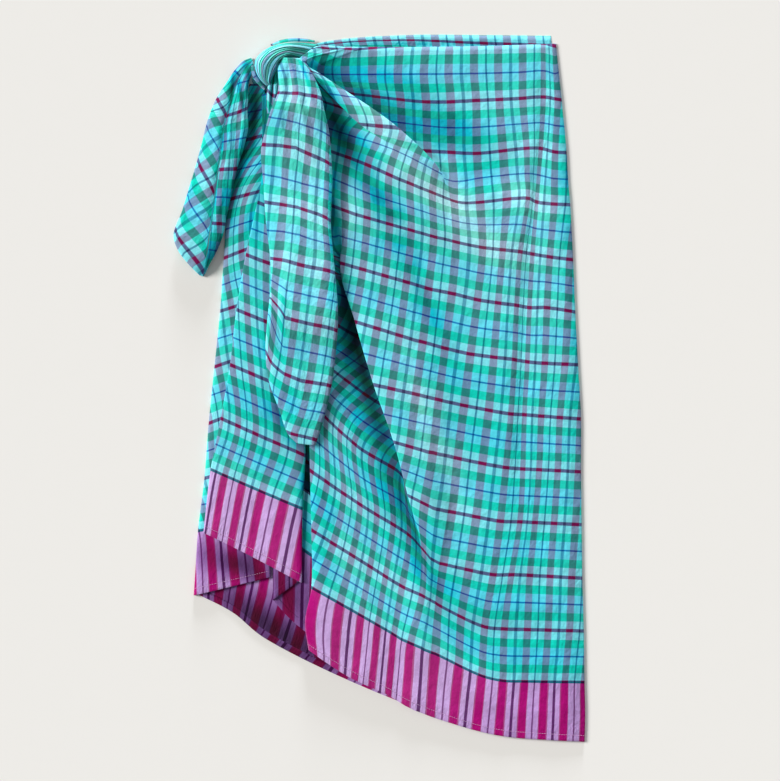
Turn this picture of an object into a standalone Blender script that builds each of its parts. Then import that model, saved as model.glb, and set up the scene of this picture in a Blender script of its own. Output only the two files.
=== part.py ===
"""Longyi sarong laid flat: one checked cotton cloth wrapped round once and knotted at the hip.

Metres, +Z up out of the surface it lies on, +Y toward the waist, +X to the side away from
the knot. Each stretch of the cloth that shows is a thin wall of its own, lofted through
sections taken along the woven lines of the check: one section for each repeat down the cloth.
The tables below are in millimetres.
"""
import bpy
import numpy as np

MM = 0.001

# Driving dimensions
CLOTH_WALL = 1.2          # wall of every stretch of cloth
SEAM_GAP = 0.3            # between neighbouring stretches
BORDER_ROW = 12           # repeats of the check above the striped border
ORIGIN = (0.0, 1.3)       # middle of the laid garment, seen from above
FLOOR_LEVEL = CLOTH_WALL / 2

# Front panel, one row for each woven line: repeats down from the waist, then the place (x, y)
# of the line at each named column. The stripe columns follow the warp stripes of that number.
# In rows 0.5 to 2.5 the cloth runs in under the ridge that leaves the knot, turns at ridge_turn
# and comes out on top at ridge_edge. In rows 5 to 8 it turns under at fold_lip, runs back to
# fold_turn and comes out below, at fold_seat, beside the long tail.
FRONT_COLUMNS = ("side", "stripe_0", "stripe_1", "stripe_2", "stripe_4", "middle",
                 "ridge_foot", "ridge_turn", "ridge_edge", "fold_lip", "fold_turn", "fold_seat",
                 "far", "rolled_edge")
FRONT_LINES = (
    (0, (247, 484), (244, 484), (230, 483), (200, 482), (132, 480), (47, 479), (-10, 479),
     (-22, 479), (-34, 479), (-50, 479), (-58, 480), (-66, 480), (-80, 481), (-90, 478)),
    (0.5, (251, 444), (246, 442), (230, 446), (200, 444), (132, 442), (26, 441), (-80, 441),
     (-92, 443), (-103, 456), (-106, 457), (-108, 458), (-109, 459), (-112, 460), (-114, 460)),
    (1, (255, 405), (248, 406), (230, 409), (200, 407), (135, 404), (65, 402), (-37, 413),
     (-64, 416), (-79, 437), (-92, 442), (-99, 444), (-104, 446), (-112, 448), (-120, 450)),
    (2, (262, 331), (245, 332), (226, 337), (206, 337), (136, 330), (101, 331), (62, 333),
     (28, 335), (26, 364), (-10, 367), (-27, 369), (-47, 390), (-68, 398), (-89, 405)),
    (2.5, (264, 294), (244, 295), (223, 300), (207, 302), (138, 295), (118, 291), (97, 291),
     (78, 297), (84, 303), (45, 322), (26, 331), (7, 339), (-38, 353), (-88, 370)),
    (3, (267, 258), (244, 259), (220, 262), (208, 267), (140, 261), (115, 261), (89, 267),
     (80, 270), (71, 274), (42, 287), (27, 293), (13, 299), (-35, 320), (-89, 339)),
    (4, (271, 181), (238, 185), (214, 189), (197, 192), (144, 198), (110, 205), (92, 209),
     (84, 211), (75, 212), (22, 225), (5, 230), (-12, 237), (-54, 251), (-94, 267)),
    (5, (274, 108), (234, 114), (210, 114), (192, 117), (137, 125), (105, 133), (70, 140),
     (60, 143), (50, 146), (-55, 176), (-48, 181), (-58, 184), (-78, 191), (-97, 197)),
    (6, (278, 34), (231, 36), (207, 38), (189, 41), (127, 49), (100, 55), (70, 63),
     (60, 66), (50, 68), (-34, 94), (8, 140), (-54, 160), (-80, 169), (-102, 178)),
    (7, (282, -42), (226, -38), (203, -36), (184, -35), (118, -23), (100, -19), (78, -14),
     (70, -12), (62, -10), (-8, 6), (38, 55), (-29, 73), (-63, 91), (-100, 106)),
    (8, (282, -116), (223, -113), (201, -112), (177, -110), (109, -97), (97, -94), (82, -91),
     (75, -89), (68, -88), (20, -74), (44, -35), (0, -20), (-45, 11), (-99, 52)),
    (9, (283, -190), (217, -187), (197, -186), (169, -185), (101, -172), (94, -171), (86, -169),
     (80, -168), (74, -166), (40, -149), (36, -134), (30, -119), (-30, -81), (-98, -18)),
    (10, (284, -265), (210, -261), (185, -260), (159, -260), (89, -245), (84, -244), (80, -242),
     (76, -240), (71, -237), (61, -225), (47, -209), (34, -199), (-25, -163), (-97, -114)),
    (11, (286, -339), (207, -337), (175, -336), (147, -333), (82, -302), (78, -299), (74, -297),
     (71, -295), (67, -293), (60, -289), (46, -283), (31, -276), (-25, -241), (-95, -197)),
    (12, (287, -411), (203, -410), (173, -409), (143, -402), (78, -371), (72, -369), (67, -367),
     (62, -365), (57, -362), (43, -356), (31, -351), (20, -344), (-35, -312), (-95, -278)),
    (12.5, (288, -455), (200, -449), (170, -447), (139, -440), (74, -414), (69, -412), (64, -410),
     (59, -408), (54, -406), (39, -400), (27, -393), (16, -386), (-40, -357), (-104, -326)),
    (13, (287, -494), (198, -489), (167, -485), (135, -478), (71, -458), (66, -456), (61, -454),
     (56, -452), (50, -450), (36, -443), (23, -435), (12, -428), (-44, -402), (-99, -365)),
)

# Height of the front panel's wall above the surface, at the same columns.
FRONT_HEIGHTS = (
    (0, 4, 4.5, 4.2, 4.4, 4.6, 5, 5.5, 5.8, 6.2, 7, 7.8, 8.5, 9.5, 10),
    (0.5, 4.5, 5, 4, 5, 5.2, 6, 7, 9.5, 12, 13, 13, 12.5, 12, 11),
    (1, 5, 5.5, 4, 5.5, 5.5, 6, 7, 9, 13, 15, 15, 14, 12.5, 11),
    (2, 5, 5.8, 4, 5.8, 6, 6.5, 7, 9, 13, 14.5, 14, 9.5, 11, 11),
    (2.5, 5, 5.8, 4, 5.8, 6, 6.3, 6.6, 7.8, 9.5, 12.5, 13, 12.5, 8.5, 10),
    (3, 5, 5.8, 4, 5.8, 6, 6.2, 6.6, 7, 7.5, 9.5, 10.5, 11, 8.5, 9),
    (4, 5, 5.8, 4, 5.8, 6, 6.2, 6.5, 6.6, 6.8, 8, 8.6, 9, 9, 8.5),
    (5, 5, 5.8, 4.2, 5.8, 6, 6.6, 7.4, 7.8, 8, 10.5, 8.5, 7, 6.5, 7),
    (6, 5, 5.8, 4.3, 5.8, 6.5, 7.2, 8.6, 9.1, 9.6, 11, 7, 5, 5.8, 7),
    (7, 5, 5.8, 4.4, 5.8, 6.5, 7.6, 9.1, 9.6, 10, 11, 7, 5, 6.2, 8),
    (8, 5, 5.8, 4.6, 5.8, 6.5, 7.4, 8.9, 9.4, 9.8, 10.5, 7, 5, 7, 8.8),
    (9, 5, 5.8, 4.8, 5.8, 7, 7.8, 8.4, 8.8, 9.2, 10.5, 9, 7.5, 7.8, 9),
    (10, 5, 5.6, 5, 5.8, 7.5, 7.9, 8.2, 8.5, 8.9, 9.2, 8.2, 7.2, 8.2, 9),
    (11, 5, 5.5, 5.2, 5.6, 7.2, 7.5, 7.8, 8, 8.2, 8.2, 7.4, 7, 8.4, 9),
    (12, 5, 5.4, 5.2, 5.6, 6.6, 6.9, 7.2, 7.4, 7.5, 7.6, 7.2, 7.2, 8.4, 9),
    (12.5, 5, 5.4, 5.2, 5.6, 6.4, 6.7, 7, 7.2, 7.3, 7.4, 7.2, 7.4, 8.4, 9),
    (13, 5, 5.4, 5.2, 5.6, 6.2, 6.5, 6.9, 7.1, 7.3, 7.4, 7.2, 7.6, 8.4, 9),
)

# Radius at which the front panel turns over in its folds; minus where it turns upward.
FRONT_FOLDS = ("ridge_turn", "ridge_edge", "fold_lip", "fold_turn")
FRONT_FOLD_RADII = (
    (0, 0, 0, 0, 0), (0.5, -1.8, -1.8, 0, 0), (1, -2, -2, 0, 0), (2, -2, -2, 0, 0),
    (2.5, -1.2, -1.2, 0, 0), (3, 0, 0, 0, 0), (4, 0, 0, 0, 0), (5, 0, 0, 1.4, 1.2),
    (6, 0, 0, 2, 2), (7, 0, 0, 2, 2), (8, 0, 0, 1.8, 1.8), (9, 0, 0, 0.5, 0), (10, 0, 0, 0, 0),
    (11, 0, 0, 0, 0), (12, 0, 0, 0, 0), (12.5, 0, 0, 0, 0), (13, 0, 0, 0, 0),
)
# Pieces of each span of a section, from the side fold to the flap behind the rolled edge.
FRONT_PIECES_ACROSS = (1, 1, 1, 1, 1, 1, 2, 1, 2, 1, 1, 1, 2, 1, 1, 2, 1, 1, 2, 1, 1, 2, 2, 2,
                       1, 1, 1)
ROLLED_EDGE_RADIUS = 1.3
ROLLED_EDGE_FLAP = 5
SIDE_FOLD_FLAP = 3        # how far a side fold runs on below, up to the back's edge

# Front left panel: the free end of the cloth, from below the knot to its own hem.
LEFT_COLUMNS = ("hemmed_end", "middle", "right_fold")
LEFT_LINES = (
    (5.5, (-164, 412), (-150, 416), (-134, 419)),
    (6, (-164, 349), (-143, 353), (-117, 349)),
    (6.5, (-164, 300), (-142, 293), (-115, 281)),
    (8, (-187, 188), (-152, 175), (-111, 162)),
    (9, (-200, 111), (-158, 94), (-108, 74)),
    (10, (-209, 34), (-159, 13), (-106, -10)),
    (11, (-222, -41), (-164, -67), (-104, -93)),
    (12, (-236, -113), (-172, -141), (-108, -168)),
    (13, (-246, -201), (-183, -232), (-109, -271)),
)
LEFT_HEIGHTS = (7.2, 8.6, 9.2)
LEFT_FOLD_RADIUS = 1.5
LEFT_FOLD_FLAP = 3

# Tucked fold between the two front panels, seen only at the hem.
TUCK_COLUMNS = ("middle_above", "tip", "middle_below", "hidden_end")
TUCK_LINES = (
    (11, (-126, -102), (-146, -112), (-120, -130), (-70, -165)),
    (12, (-128, -178), (-148, -190), (-125, -212), (-72, -250)),
    (13, (-127, -279), (-149, -295), (-127, -320), (-76, -362)),
)
TUCK_BELOW = 3.2

# Side wrap: the cloth that comes round the left side and goes in under the free end.
SIDE_COLUMNS = ("side", "middle", "hidden_end")
SIDE_LINES = (
    (4, (-182, 427), (-173, 427), (-161, 427)),
    (5, (-196, 346), (-178, 351), (-156, 357)),
    (6, (-212, 265), (-186, 272), (-139, 284)),
    (7, (-218, 183), (-188, 195), (-128, 211)),
    (8, (-223, 109), (-191, 119), (-125, 136)),
    (9, (-231, 31), (-195, 43), (-125, 60)),
    (10, (-239, -48), (-206, -36), (-136, -18)),
    (11, (-245, -125), (-209, -115), (-153, -102)),
    (12, (-254, -199), (-212, -192), (-155, -181)),
    (12.5, (-257, -244), (-209, -234), (-153, -222)),
    (13, (-260, -289), (-205, -276), (-152, -263)),
)
SIDE_HEIGHT = 5.0

# Back panel, flat on the surface. Its sides follow the side wrap and the front panel, row for
# row; this is its left side above the wrap, and its curved edges at the columns across it.
BACK_LEFT_ABOVE_WRAP = (
    (0, (-164, 461)), (0.5, (-168, 456)), (1, (-170, 450)), (2, (-174, 442)),
    (2.5, (-176, 438)), (3, (-179, 433)),
)
BACK_COLUMNS = (0, 0.1, 0.25, 0.68, 1)
BACK_TOP = ((-75, 487), (38, 496), (139, 496), (240, 495))
BACK_HEM = ((-206, -313), (-158, -351), (85, -458))

# Knot: sections round the wrapped band, from where it leaves the front panel.
KNOT_COLUMNS = ("outer_x", "outer_y", "inner_x", "inner_y", "underside", "crown")
KNOT_SECTIONS = (
    (-92, 483, -116, 463, 6, 14),
    (-108, 485, -121, 464, 3, 20),
    (-124, 485, -127, 465, 1.6, 26),
    (-139, 482, -133, 464, 1.6, 31),
    (-153, 477, -140, 461, 1.6, 34),
    (-164, 470, -146, 455, 1.6, 35),
    (-171, 459, -151, 447, 1.6, 33),
    (-171, 446, -154, 438, 4, 29),
    (-166, 434, -155, 430, 6.5, 23),
    (-158, 424, -153, 424, 7, 16),
)
KNOT_PLEATS = 5
KNOT_PLEAT_DEPTH = 2.2
STRAND_PATH = ((-178, 452, 8), (-177, 443, 9.5), (-172, 434, 10), (-166, 426, 9.2),
               (-160, 419, 8.8))
STRAND_RADIUS = 2.6
ROLL_PATH = ((-91, 487, 4.2), (-104, 488, 7), (-122, 488.3, 10), (-138, 486, 9), (-152, 481.5, 6))
ROLL_RADIUS = 2.6

# Tails: left and right edge of each section, from the knot to the tip.
LONG_TAIL_SECTIONS = (
    ((-136, 460), (-112, 460)), ((-146, 448), (-101, 448)), ((-150, 433), (-91, 433)),
    ((-155, 412), (-82, 412)), ((-158, 388), (-77, 388)), ((-159, 361), (-71, 361)),
    ((-165, 333), (-68, 333)), ((-162, 290), (-66, 290)), ((-158, 232), (-68, 232)),
    ((-152, 181), (-64, 181)), ((-152, 139), (-60, 139)), ((-156, 97), (-58, 97)),
    ((-159, 53), (-61, 53)), ((-154, 11), (-66, 11)), ((-139, -31), (-75, -31)),
    ((-128, -62), (-84, -62)), ((-115, -76), (-90, -79)),
)
SHORT_TAIL_SECTIONS = (
    ((-184, 462), (-183, 455)), ((-197, 452), (-184, 432)), ((-211, 438), (-184, 409)),
    ((-225, 406), (-184, 374)), ((-239, 375), (-190, 346)), ((-251, 332), (-198, 319)),
    ((-264, 288), (-208, 288)), ((-278, 248), (-214, 244)), ((-288, 217), (-219, 209)),
    ((-278, 192), (-232, 184)), ((-254, 161), (-246, 160)),
)
TAIL_COLUMNS = (0, 0.2, 0.35, 0.5, 0.65, 0.8, 1)
TAIL_FOLD_RADIUS = 2.2
TAIL_TURN_UNDER = 16
TAIL_PLEATS = 3
TAIL_PLEAT_HEIGHT = 1.2
TAIL_PUFF = 3.0
TAIL_CLEARANCE = 0.5
TAIL_REACH = 9
TAIL_STEP_DOWN = 3.0
LONG_TAIL_ROOT_LEVEL = 17

CHECK_COLOUR = (0.11, 0.50, 0.47)
BORDER_COLOUR = (0.42, 0.05, 0.20)


def start_again():
    """Remove every object, so that the script gives the same scene each run."""
    for item in list(bpy.data.objects):
        bpy.data.objects.remove(item, do_unlink=True)


def cloth_material(name, colour):
    """Matte woven cotton of one colour."""
    material = bpy.data.materials.new(name)
    material.use_nodes = True
    shader = material.node_tree.nodes["Principled BSDF"]
    shader.inputs["Base Color"].default_value = (*colour, 1)
    shader.inputs["Roughness"].default_value = 0.85
    shader.inputs["Metallic"].default_value = 0
    return material


def smooth_through(points, pieces):
    """Curve through the points along the first axis, cut into pieces for each span.

    Each span is a cubic that leaves a point in the direction of its two neighbours, with the
    spans weighted by the square root of their length so that it doesn't overshoot.
    """
    points = np.asarray(points, float)
    count = len(points)
    length = np.linalg.norm(np.diff(points, axis=0), axis=-1, keepdims=True)
    weight = np.sqrt(np.maximum(length, 1e-6))
    slope = np.diff(points, axis=0) / weight
    tangent = np.empty_like(points)
    tangent[0] = slope[0]
    tangent[-1] = slope[-1]
    both = weight[:-1] + weight[1:]
    tangent[1:-1] = (slope[:-1] * weight[1:] + slope[1:] * weight[:-1]) / both
    rows = []
    for span in range(count - 1):
        step = np.arange(pieces[span]) / pieces[span]
        t = step.reshape((-1,) + (1,) * (points.ndim - 1))
        rows.append(points[span] * (2 * t**3 - 3 * t**2 + 1)
                    + points[span + 1] * (3 * t**2 - 2 * t**3)
                    + weight[span] * tangent[span] * (t**3 - 2 * t**2 + t)
                    + weight[span] * tangent[span + 1] * (t**3 - t**2))
    rows.append(points[-1:])
    return np.concatenate(rows)


def sheet_through(sections, down, across):
    """Grid of points through sections[row, column], smooth both ways."""
    lines = smooth_through(sections, down)
    return smooth_through(lines.swapaxes(0, 1), across).swapaxes(0, 1)


def places(table):
    """The (x, y) columns of a table of lines, as an array [row, column, 2]."""
    return np.array([row[1:] for row in table], float)


def stacked(outline, heights):
    """Points from an outline [.., 2] and their heights."""
    heights = np.broadcast_to(heights, outline.shape[:-1])
    return np.concatenate([outline, heights[..., None]], axis=-1)


def toward(start, end):
    """Unit step in plan from start to end, with no rise."""
    step = np.array(end - start)
    step[..., 2] = 0
    return step / np.maximum(np.linalg.norm(step, axis=-1, keepdims=True), 1e-6)


def turned_over(sections, column, radius):
    """Replace one column of a section by the three points of a round fold.

    The wall arrives at radius above the fold's tip, passes it and leaves at radius below;
    with a minus radius it arrives below and leaves above.
    """
    before, tip, after = sections[:, column - 1], sections[:, column], sections[:, column + 1]
    size = np.asarray(radius, float)[:, None]
    rise = np.concatenate([0 * size, 0 * size, size], axis=1)
    arriving = tip + toward(tip, before) * np.abs(size) + rise
    leaving = tip + toward(tip, after) * np.abs(size) - rise
    flat = np.abs(size) < 0.1
    arriving = np.where(flat, tip + (before - tip) * 0.12, arriving)
    leaving = np.where(flat, tip + (after - tip) * 0.12, leaving)
    fold = np.stack([arriving, tip, leaving], axis=1)
    return np.concatenate([sections[:, :column], fold, sections[:, column + 1:]], axis=1)


def folded_edge(sections, last, radius, inward):
    """Roll the first or last column of a section under, with a short flap inward below."""
    edge = sections[:, -1] if last else sections[:, 0]
    inner = toward(edge, sections[:, -2] if last else sections[:, 1])
    down = np.array((0, 0, -1.0))
    size = np.broadcast_to(np.asarray(radius, float), (len(edge),))[:, None]
    flap = np.broadcast_to(np.asarray(inward, float), (len(edge),))[:, None]
    bend = [edge + inner * size,
            edge + down * size,
            edge + inner * size + down * 2 * size]
    if np.max(inward) > 0:
        bend.append(edge + inner * (size + flap) + down * 2 * size)
    bend = np.stack(bend, axis=1)
    if last:
        return np.concatenate([sections[:, :-1], bend], axis=1)
    return np.concatenate([bend[:, ::-1], sections[:, 1:]], axis=1)


def grid_mesh(name, points, border_from=None):
    """Mesh of a grid of points, in metres, with the border's faces in the second material."""
    rows, columns = points.shape[:2]
    placed = (points - (*ORIGIN, 0)) * MM
    mesh = bpy.data.meshes.new(name)
    corner = np.arange(rows * columns).reshape(rows, columns)
    faces = np.stack([corner[:-1, :-1], corner[1:, :-1], corner[1:, 1:], corner[:-1, 1:]], -1)
    mesh.from_pydata(placed.reshape(-1, 3).tolist(), [], faces.reshape(-1, 4).tolist())
    if border_from is not None:
        for face in mesh.polygons:
            face.material_index = int(face.index // (columns - 1) >= border_from)
    return mesh


def add_part(name, mesh, materials, smooth=True):
    """Put a mesh in the garment's collection with its materials."""
    part = bpy.data.objects.new(name, mesh)
    bpy.data.collections["longyi_sarong"].objects.link(part)
    for material in materials:
        mesh.materials.append(material)
    if smooth:
        mesh.shade_smooth()
    return part


def cloth(name, points, materials, border_from=None, on_floor=False):
    """A stretch of cloth: a grid given its wall by Solidify, half to each side.

    A stretch on the floor has its wall above the grid, so that its underside stays flat.
    """
    part = add_part(name, grid_mesh(name, points, border_from), materials)
    wall = part.modifiers.new("wall", "SOLIDIFY")
    wall.thickness = CLOTH_WALL * MM
    wall.offset = 1 if on_floor else 0
    wall.use_quality_normals = True
    return part


class Ground:
    """Height map of the stretches laid so far, so that the next one lies on them."""
    CELL = 3.0
    HALF = (330.0, 540.0)

    def __init__(self):
        size = [int(2 * half / self.CELL) + 1 for half in self.HALF]
        self.top = np.zeros(size)

    def cells(self, points):
        """Row and column of the map under each point."""
        place = (points[..., :2] + self.HALF) / self.CELL
        return tuple(np.clip(np.round(place[..., i]).astype(int), 0, self.top.shape[i] - 1)
                     for i in (0, 1))

    def lay(self, points):
        """Add a grid of points, filled in between and raised by half the cloth's wall."""
        rows, columns = points.shape[:2]
        fine = np.stack([points[:-1] * (1 - t) + points[1:] * t for t in np.arange(12) / 12], 1)
        fine = fine.reshape(-1, columns, 3)
        fine = np.stack([fine[:, :-1] * (1 - t) + fine[:, 1:] * t for t in np.arange(12) / 12], 2)
        fine = fine.reshape(-1, 3)
        np.maximum.at(self.top, self.cells(fine), fine[:, 2] + CLOTH_WALL / 2)

    def height(self, points, reach):
        """Highest cloth within reach of each point."""
        around = int(np.ceil(reach / self.CELL))
        row, column = self.cells(points)
        highest = np.zeros(row.shape)
        for i in range(-around, around + 1):
            for j in range(-around, around + 1):
                near_row = np.clip(row + i, 0, self.top.shape[0] - 1)
                near_column = np.clip(column + j, 0, self.top.shape[1] - 1)
                highest = np.maximum(highest, self.top[near_row, near_column])
        return highest


def front_sections():
    """Sections of the front panel with its side fold, its inner folds and its rolled edge."""
    heights = np.array([row[1:] for row in FRONT_HEIGHTS])
    sections = stacked(places(FRONT_LINES), heights)
    for place, name in reversed(list(enumerate(FRONT_FOLDS))):
        radius = [row[1 + place] for row in FRONT_FOLD_RADII]
        sections = turned_over(sections, FRONT_COLUMNS.index(name), radius)
    sections = folded_edge(sections, True, ROLLED_EDGE_RADIUS, ROLLED_EDGE_FLAP)
    return folded_edge(sections, False, (heights[:, 0] - FLOOR_LEVEL) / 2, SIDE_FOLD_FLAP)


def front_panel(materials, ground):
    sections = front_sections()
    down = [2] * (len(sections) - 1)
    points = sheet_through(sections, down, FRONT_PIECES_ACROSS)
    border = 2 * [row[0] for row in FRONT_LINES].index(BORDER_ROW)
    cloth("front_panel", points, materials, border)
    ground.lay(points)
    return smooth_through(sections[:, :1], down)


def side_wrap(materials, ground):
    """The side fold and the cloth that goes in under the free end, gathered at the top."""
    radius = (SIDE_HEIGHT - FLOOR_LEVEL) / 2
    sections = stacked(places(SIDE_LINES), SIDE_HEIGHT)
    sections = folded_edge(sections, False, radius, SIDE_FOLD_FLAP)
    down = [2] * (len(sections) - 1)
    points = sheet_through(sections, down, (1, 2, 2, 3, 3))
    border = 2 * [row[0] for row in SIDE_LINES].index(BORDER_ROW)
    cloth("side_wrap", points, materials, border)
    ground.lay(points)
    return smooth_through(sections[:, :1], down)


def front_left_panel(materials, ground):
    """The free end of the cloth, turned under along its right fold."""
    sections = stacked(places(LEFT_LINES), np.array(LEFT_HEIGHTS))
    sections = folded_edge(sections, True, LEFT_FOLD_RADIUS, LEFT_FOLD_FLAP)
    points = sheet_through(sections, [2] * (len(sections) - 1), (4, 4, 2, 2, 1))
    border = 2 * [row[0] for row in LEFT_LINES].index(BORDER_ROW)
    cloth("front_left_panel", points, materials, border)
    ground.lay(points)
    return points[:, -1]


def tucked_fold(materials, fold_end):
    """The cloth between the two front panels: left under the free end, then right again.

    It starts along the end of the free end's right fold, a seam gap away.
    """
    rows = [row[0] for row in LEFT_LINES]
    first = 2 * rows.index(TUCK_LINES[0][0])
    start = fold_end[first::2] + np.array((-SEAM_GAP, 0, 0))
    outline = places(TUCK_LINES)
    above = start[:, 2:]
    radius = (above[:, 0] - TUCK_BELOW) / 2
    heights = np.concatenate([above, above - radius[:, None], above * 0 + TUCK_BELOW,
                              above * 0 + TUCK_BELOW], axis=1)
    sections = np.concatenate([start[:, None], stacked(outline, heights)], axis=1)
    sections = turned_over(sections, 2, radius)
    points = sheet_through(sections, [2] * (len(sections) - 1), (2, 2, 2, 2, 2, 2))
    points[:, 0] = fold_end[first:] + np.array((-SEAM_GAP, 0, 0))
    border = 2 * [row[0] for row in TUCK_LINES].index(BORDER_ROW)
    cloth("tucked_fold", points, materials, border)


def back_panel(materials, side_end, wrap_end):
    """The flat back, inside the ends of the two side folds by a seam gap.

    Across each line it runs straight from side to side; only its top edge and its hem are
    curved, and the hem's curve eases in over the last two rows.
    """
    inset = np.array((SEAM_GAP, 0, 0))
    right = side_end[:, 0] - inset
    above = [(*place, 0) for _, place in BACK_LEFT_ABOVE_WRAP] + [wrap_end[0, 0]]
    above = smooth_through(above, [2] * len(BACK_LEFT_ABOVE_WRAP))
    left = np.concatenate([above[:-1], wrap_end[:, 0] + inset])
    share = np.array(BACK_COLUMNS)[None, :, None]
    points = left[:, None] * (1 - share) + right[:, None] * share
    points[0, 1:, :2] = BACK_TOP
    ease = np.linspace(0, 1, 5)[1:]
    shift = np.array(BACK_HEM) - points[-1, 1:4, :2]
    points[-4:, 1:4, :2] += ease[:, None, None] * shift
    points = smooth_through(points.swapaxes(0, 1), (1, 2, 3, 2)).swapaxes(0, 1)
    points[..., 2] = 0
    border = 2 * [row[0] for row in FRONT_LINES].index(BORDER_ROW)
    cloth("back_panel", points, materials, border, on_floor=True)


def knot_wrap(materials):
    """The wrapped band of the knot: a pleated crown over a flat underside, along an arc.

    Across a section the crown rises as the root of a sine, and its pleats are five waves.
    """
    rows = smooth_through(np.array(KNOT_SECTIONS, float), [2] * (len(KNOT_SECTIONS) - 1))
    outer, inner, underside, crown = rows[:, 0:2], rows[:, 2:4], rows[:, 4], rows[:, 5]
    share = np.linspace(0, 1, 4 * KNOT_PLEATS + 1)
    across = outer[:, None] * (1 - share[:, None]) + inner[:, None] * share[:, None]
    dome = np.sin(np.pi * np.clip(share, 0.03, 0.97)) ** 0.45
    pleats = 0.5 - 0.5 * np.cos(2 * np.pi * KNOT_PLEATS * share)
    depth = KNOT_PLEAT_DEPTH * np.clip((crown - underside) / 20, 0.3, 1)
    top = underside[:, None] + (crown - underside)[:, None] * dome - depth[:, None] * (1 - pleats)
    top = np.maximum(top, underside[:, None] + 1.5)
    above = np.concatenate([across, top[..., None]], axis=-1)
    below = np.concatenate([across, np.broadcast_to(underside[:, None, None],
                                                    across.shape[:2] + (1,))], axis=-1)
    ring = np.concatenate([above, below[:, ::-1]], axis=1)
    count = ring.shape[1]
    number = np.arange(len(ring) * count).reshape(len(ring), count)
    after = np.roll(number, -1, axis=1)
    sides = np.stack([number[:-1], number[1:], after[1:], after[:-1]], -1).reshape(-1, 4)
    mesh = bpy.data.meshes.new("knot_wrap")
    placed = (ring - (*ORIGIN, 0)) * MM
    caps = [number[0].tolist(), number[-1, ::-1].tolist()]
    mesh.from_pydata(placed.reshape(-1, 3).tolist(), [], sides.tolist() + caps)
    add_part("knot_wrap", mesh, materials)


def rolled_cloth(name, path, radius, materials):
    """A rolled strand of cloth: a round tube along a smooth path, with filled ends."""
    points = smooth_through(path, [3] * (len(path) - 1))
    curve = bpy.data.curves.new(name, "CURVE")
    curve.dimensions = "3D"
    curve.bevel_depth = radius * MM
    curve.bevel_resolution = 2
    curve.use_fill_caps = True
    line = curve.splines.new("POLY")
    line.points.add(len(points) - 1)
    for spot, place in zip(line.points, (points - (*ORIGIN, 0)) * MM):
        spot.co = (*place, 1)
    strand = bpy.data.objects.new(name, curve)
    bpy.data.collections["longyi_sarong"].objects.link(strand)
    for material in materials:
        curve.materials.append(material)


def tail(name, edges, ground, root_level, materials):
    """A tail of the knot: a flattened tube of cloth, open below, with its edges turned under.

    Each section lies on the highest cloth under it and its neighbours; the root is held up at
    the knot and comes down by a step a section. Three pleats leave the knot and die out a
    third of the way down.
    """
    left, right = (np.array([pair[side] for pair in edges], float) for side in (0, 1))
    width = np.linalg.norm(right - left, axis=1)
    radius = np.minimum(TAIL_FOLD_RADIUS, width / 7)
    flap = np.minimum(TAIL_TURN_UNDER, width * 0.3)
    share = np.array(TAIL_COLUMNS)
    outline = left[:, None] * (1 - share[:, None]) + right[:, None] * share[:, None]
    rows = np.arange(len(edges))
    fading = np.clip(1 - rows / (len(edges) / 3), 0, 1)[:, None]
    pleat = TAIL_PLEAT_HEIGHT * fading * np.cos(2 * np.pi * TAIL_PLEATS * share)
    puff = np.minimum(TAIL_PUFF, width * 0.05)[:, None] * np.sin(np.pi * share)
    lying = ground.height(stacked(outline, 0.0), TAIL_REACH).max(axis=1)
    beside = np.pad(lying, 1, mode="edge")
    lying = np.maximum(lying, np.maximum(beside[:-2], beside[2:]))
    lying = np.where(lying > 0, lying + TAIL_CLEARANCE, 0) + FLOOR_LEVEL
    base = np.maximum(lying, root_level - TAIL_STEP_DOWN * rows)
    level = (base + 2 * radius)[:, None] + puff + pleat
    level[:, 0] = level[:, -1] = base + 2 * radius
    sections = stacked(outline, level)
    sections = folded_edge(sections, True, radius, flap)
    sections = folded_edge(sections, False, radius, flap)
    across = (1, 2, 2, 1, 1, 1, 1, 1, 1, 2, 2, 1)
    points = sheet_through(sections, [2] * (len(sections) - 1), across)
    cloth(name, points, materials)
    ground.lay(points)


def build():
    start_again()
    collection = bpy.data.collections.new("longyi_sarong")
    bpy.context.scene.collection.children.link(collection)
    check = cloth_material("checked_cotton", CHECK_COLOUR)
    border = cloth_material("striped_border", BORDER_COLOUR)
    ground = Ground()
    side_end = front_panel((check, border), ground)
    wrap_end = side_wrap((check, border), ground)
    back_panel((check, border), side_end, wrap_end)
    fold_end = front_left_panel((check, border), ground)
    tucked_fold((check, border), fold_end)
    knot_wrap((check,))
    rolled_cloth("knot_strand", STRAND_PATH, STRAND_RADIUS, (check,))
    rolled_cloth("waist_roll", ROLL_PATH, ROLL_RADIUS, (check,))
    tail("tail_long", LONG_TAIL_SECTIONS, ground, LONG_TAIL_ROOT_LEVEL, (check,))
    tail("tail_short", SHORT_TAIL_SECTIONS, ground, FLOOR_LEVEL, (check,))


build()
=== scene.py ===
"""Longyi sarong laid flat: the finished look of one checked cotton cloth, wrapped and knotted.

Each stretch of cloth is a thin shell through the woven lines of the check. A row of a table is
one line across the cloth, so the shell carries its own cloth coordinates: across, the number of
the warp stripe, and down, the number of the repeat. Tables are in millimetres.
"""

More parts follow.
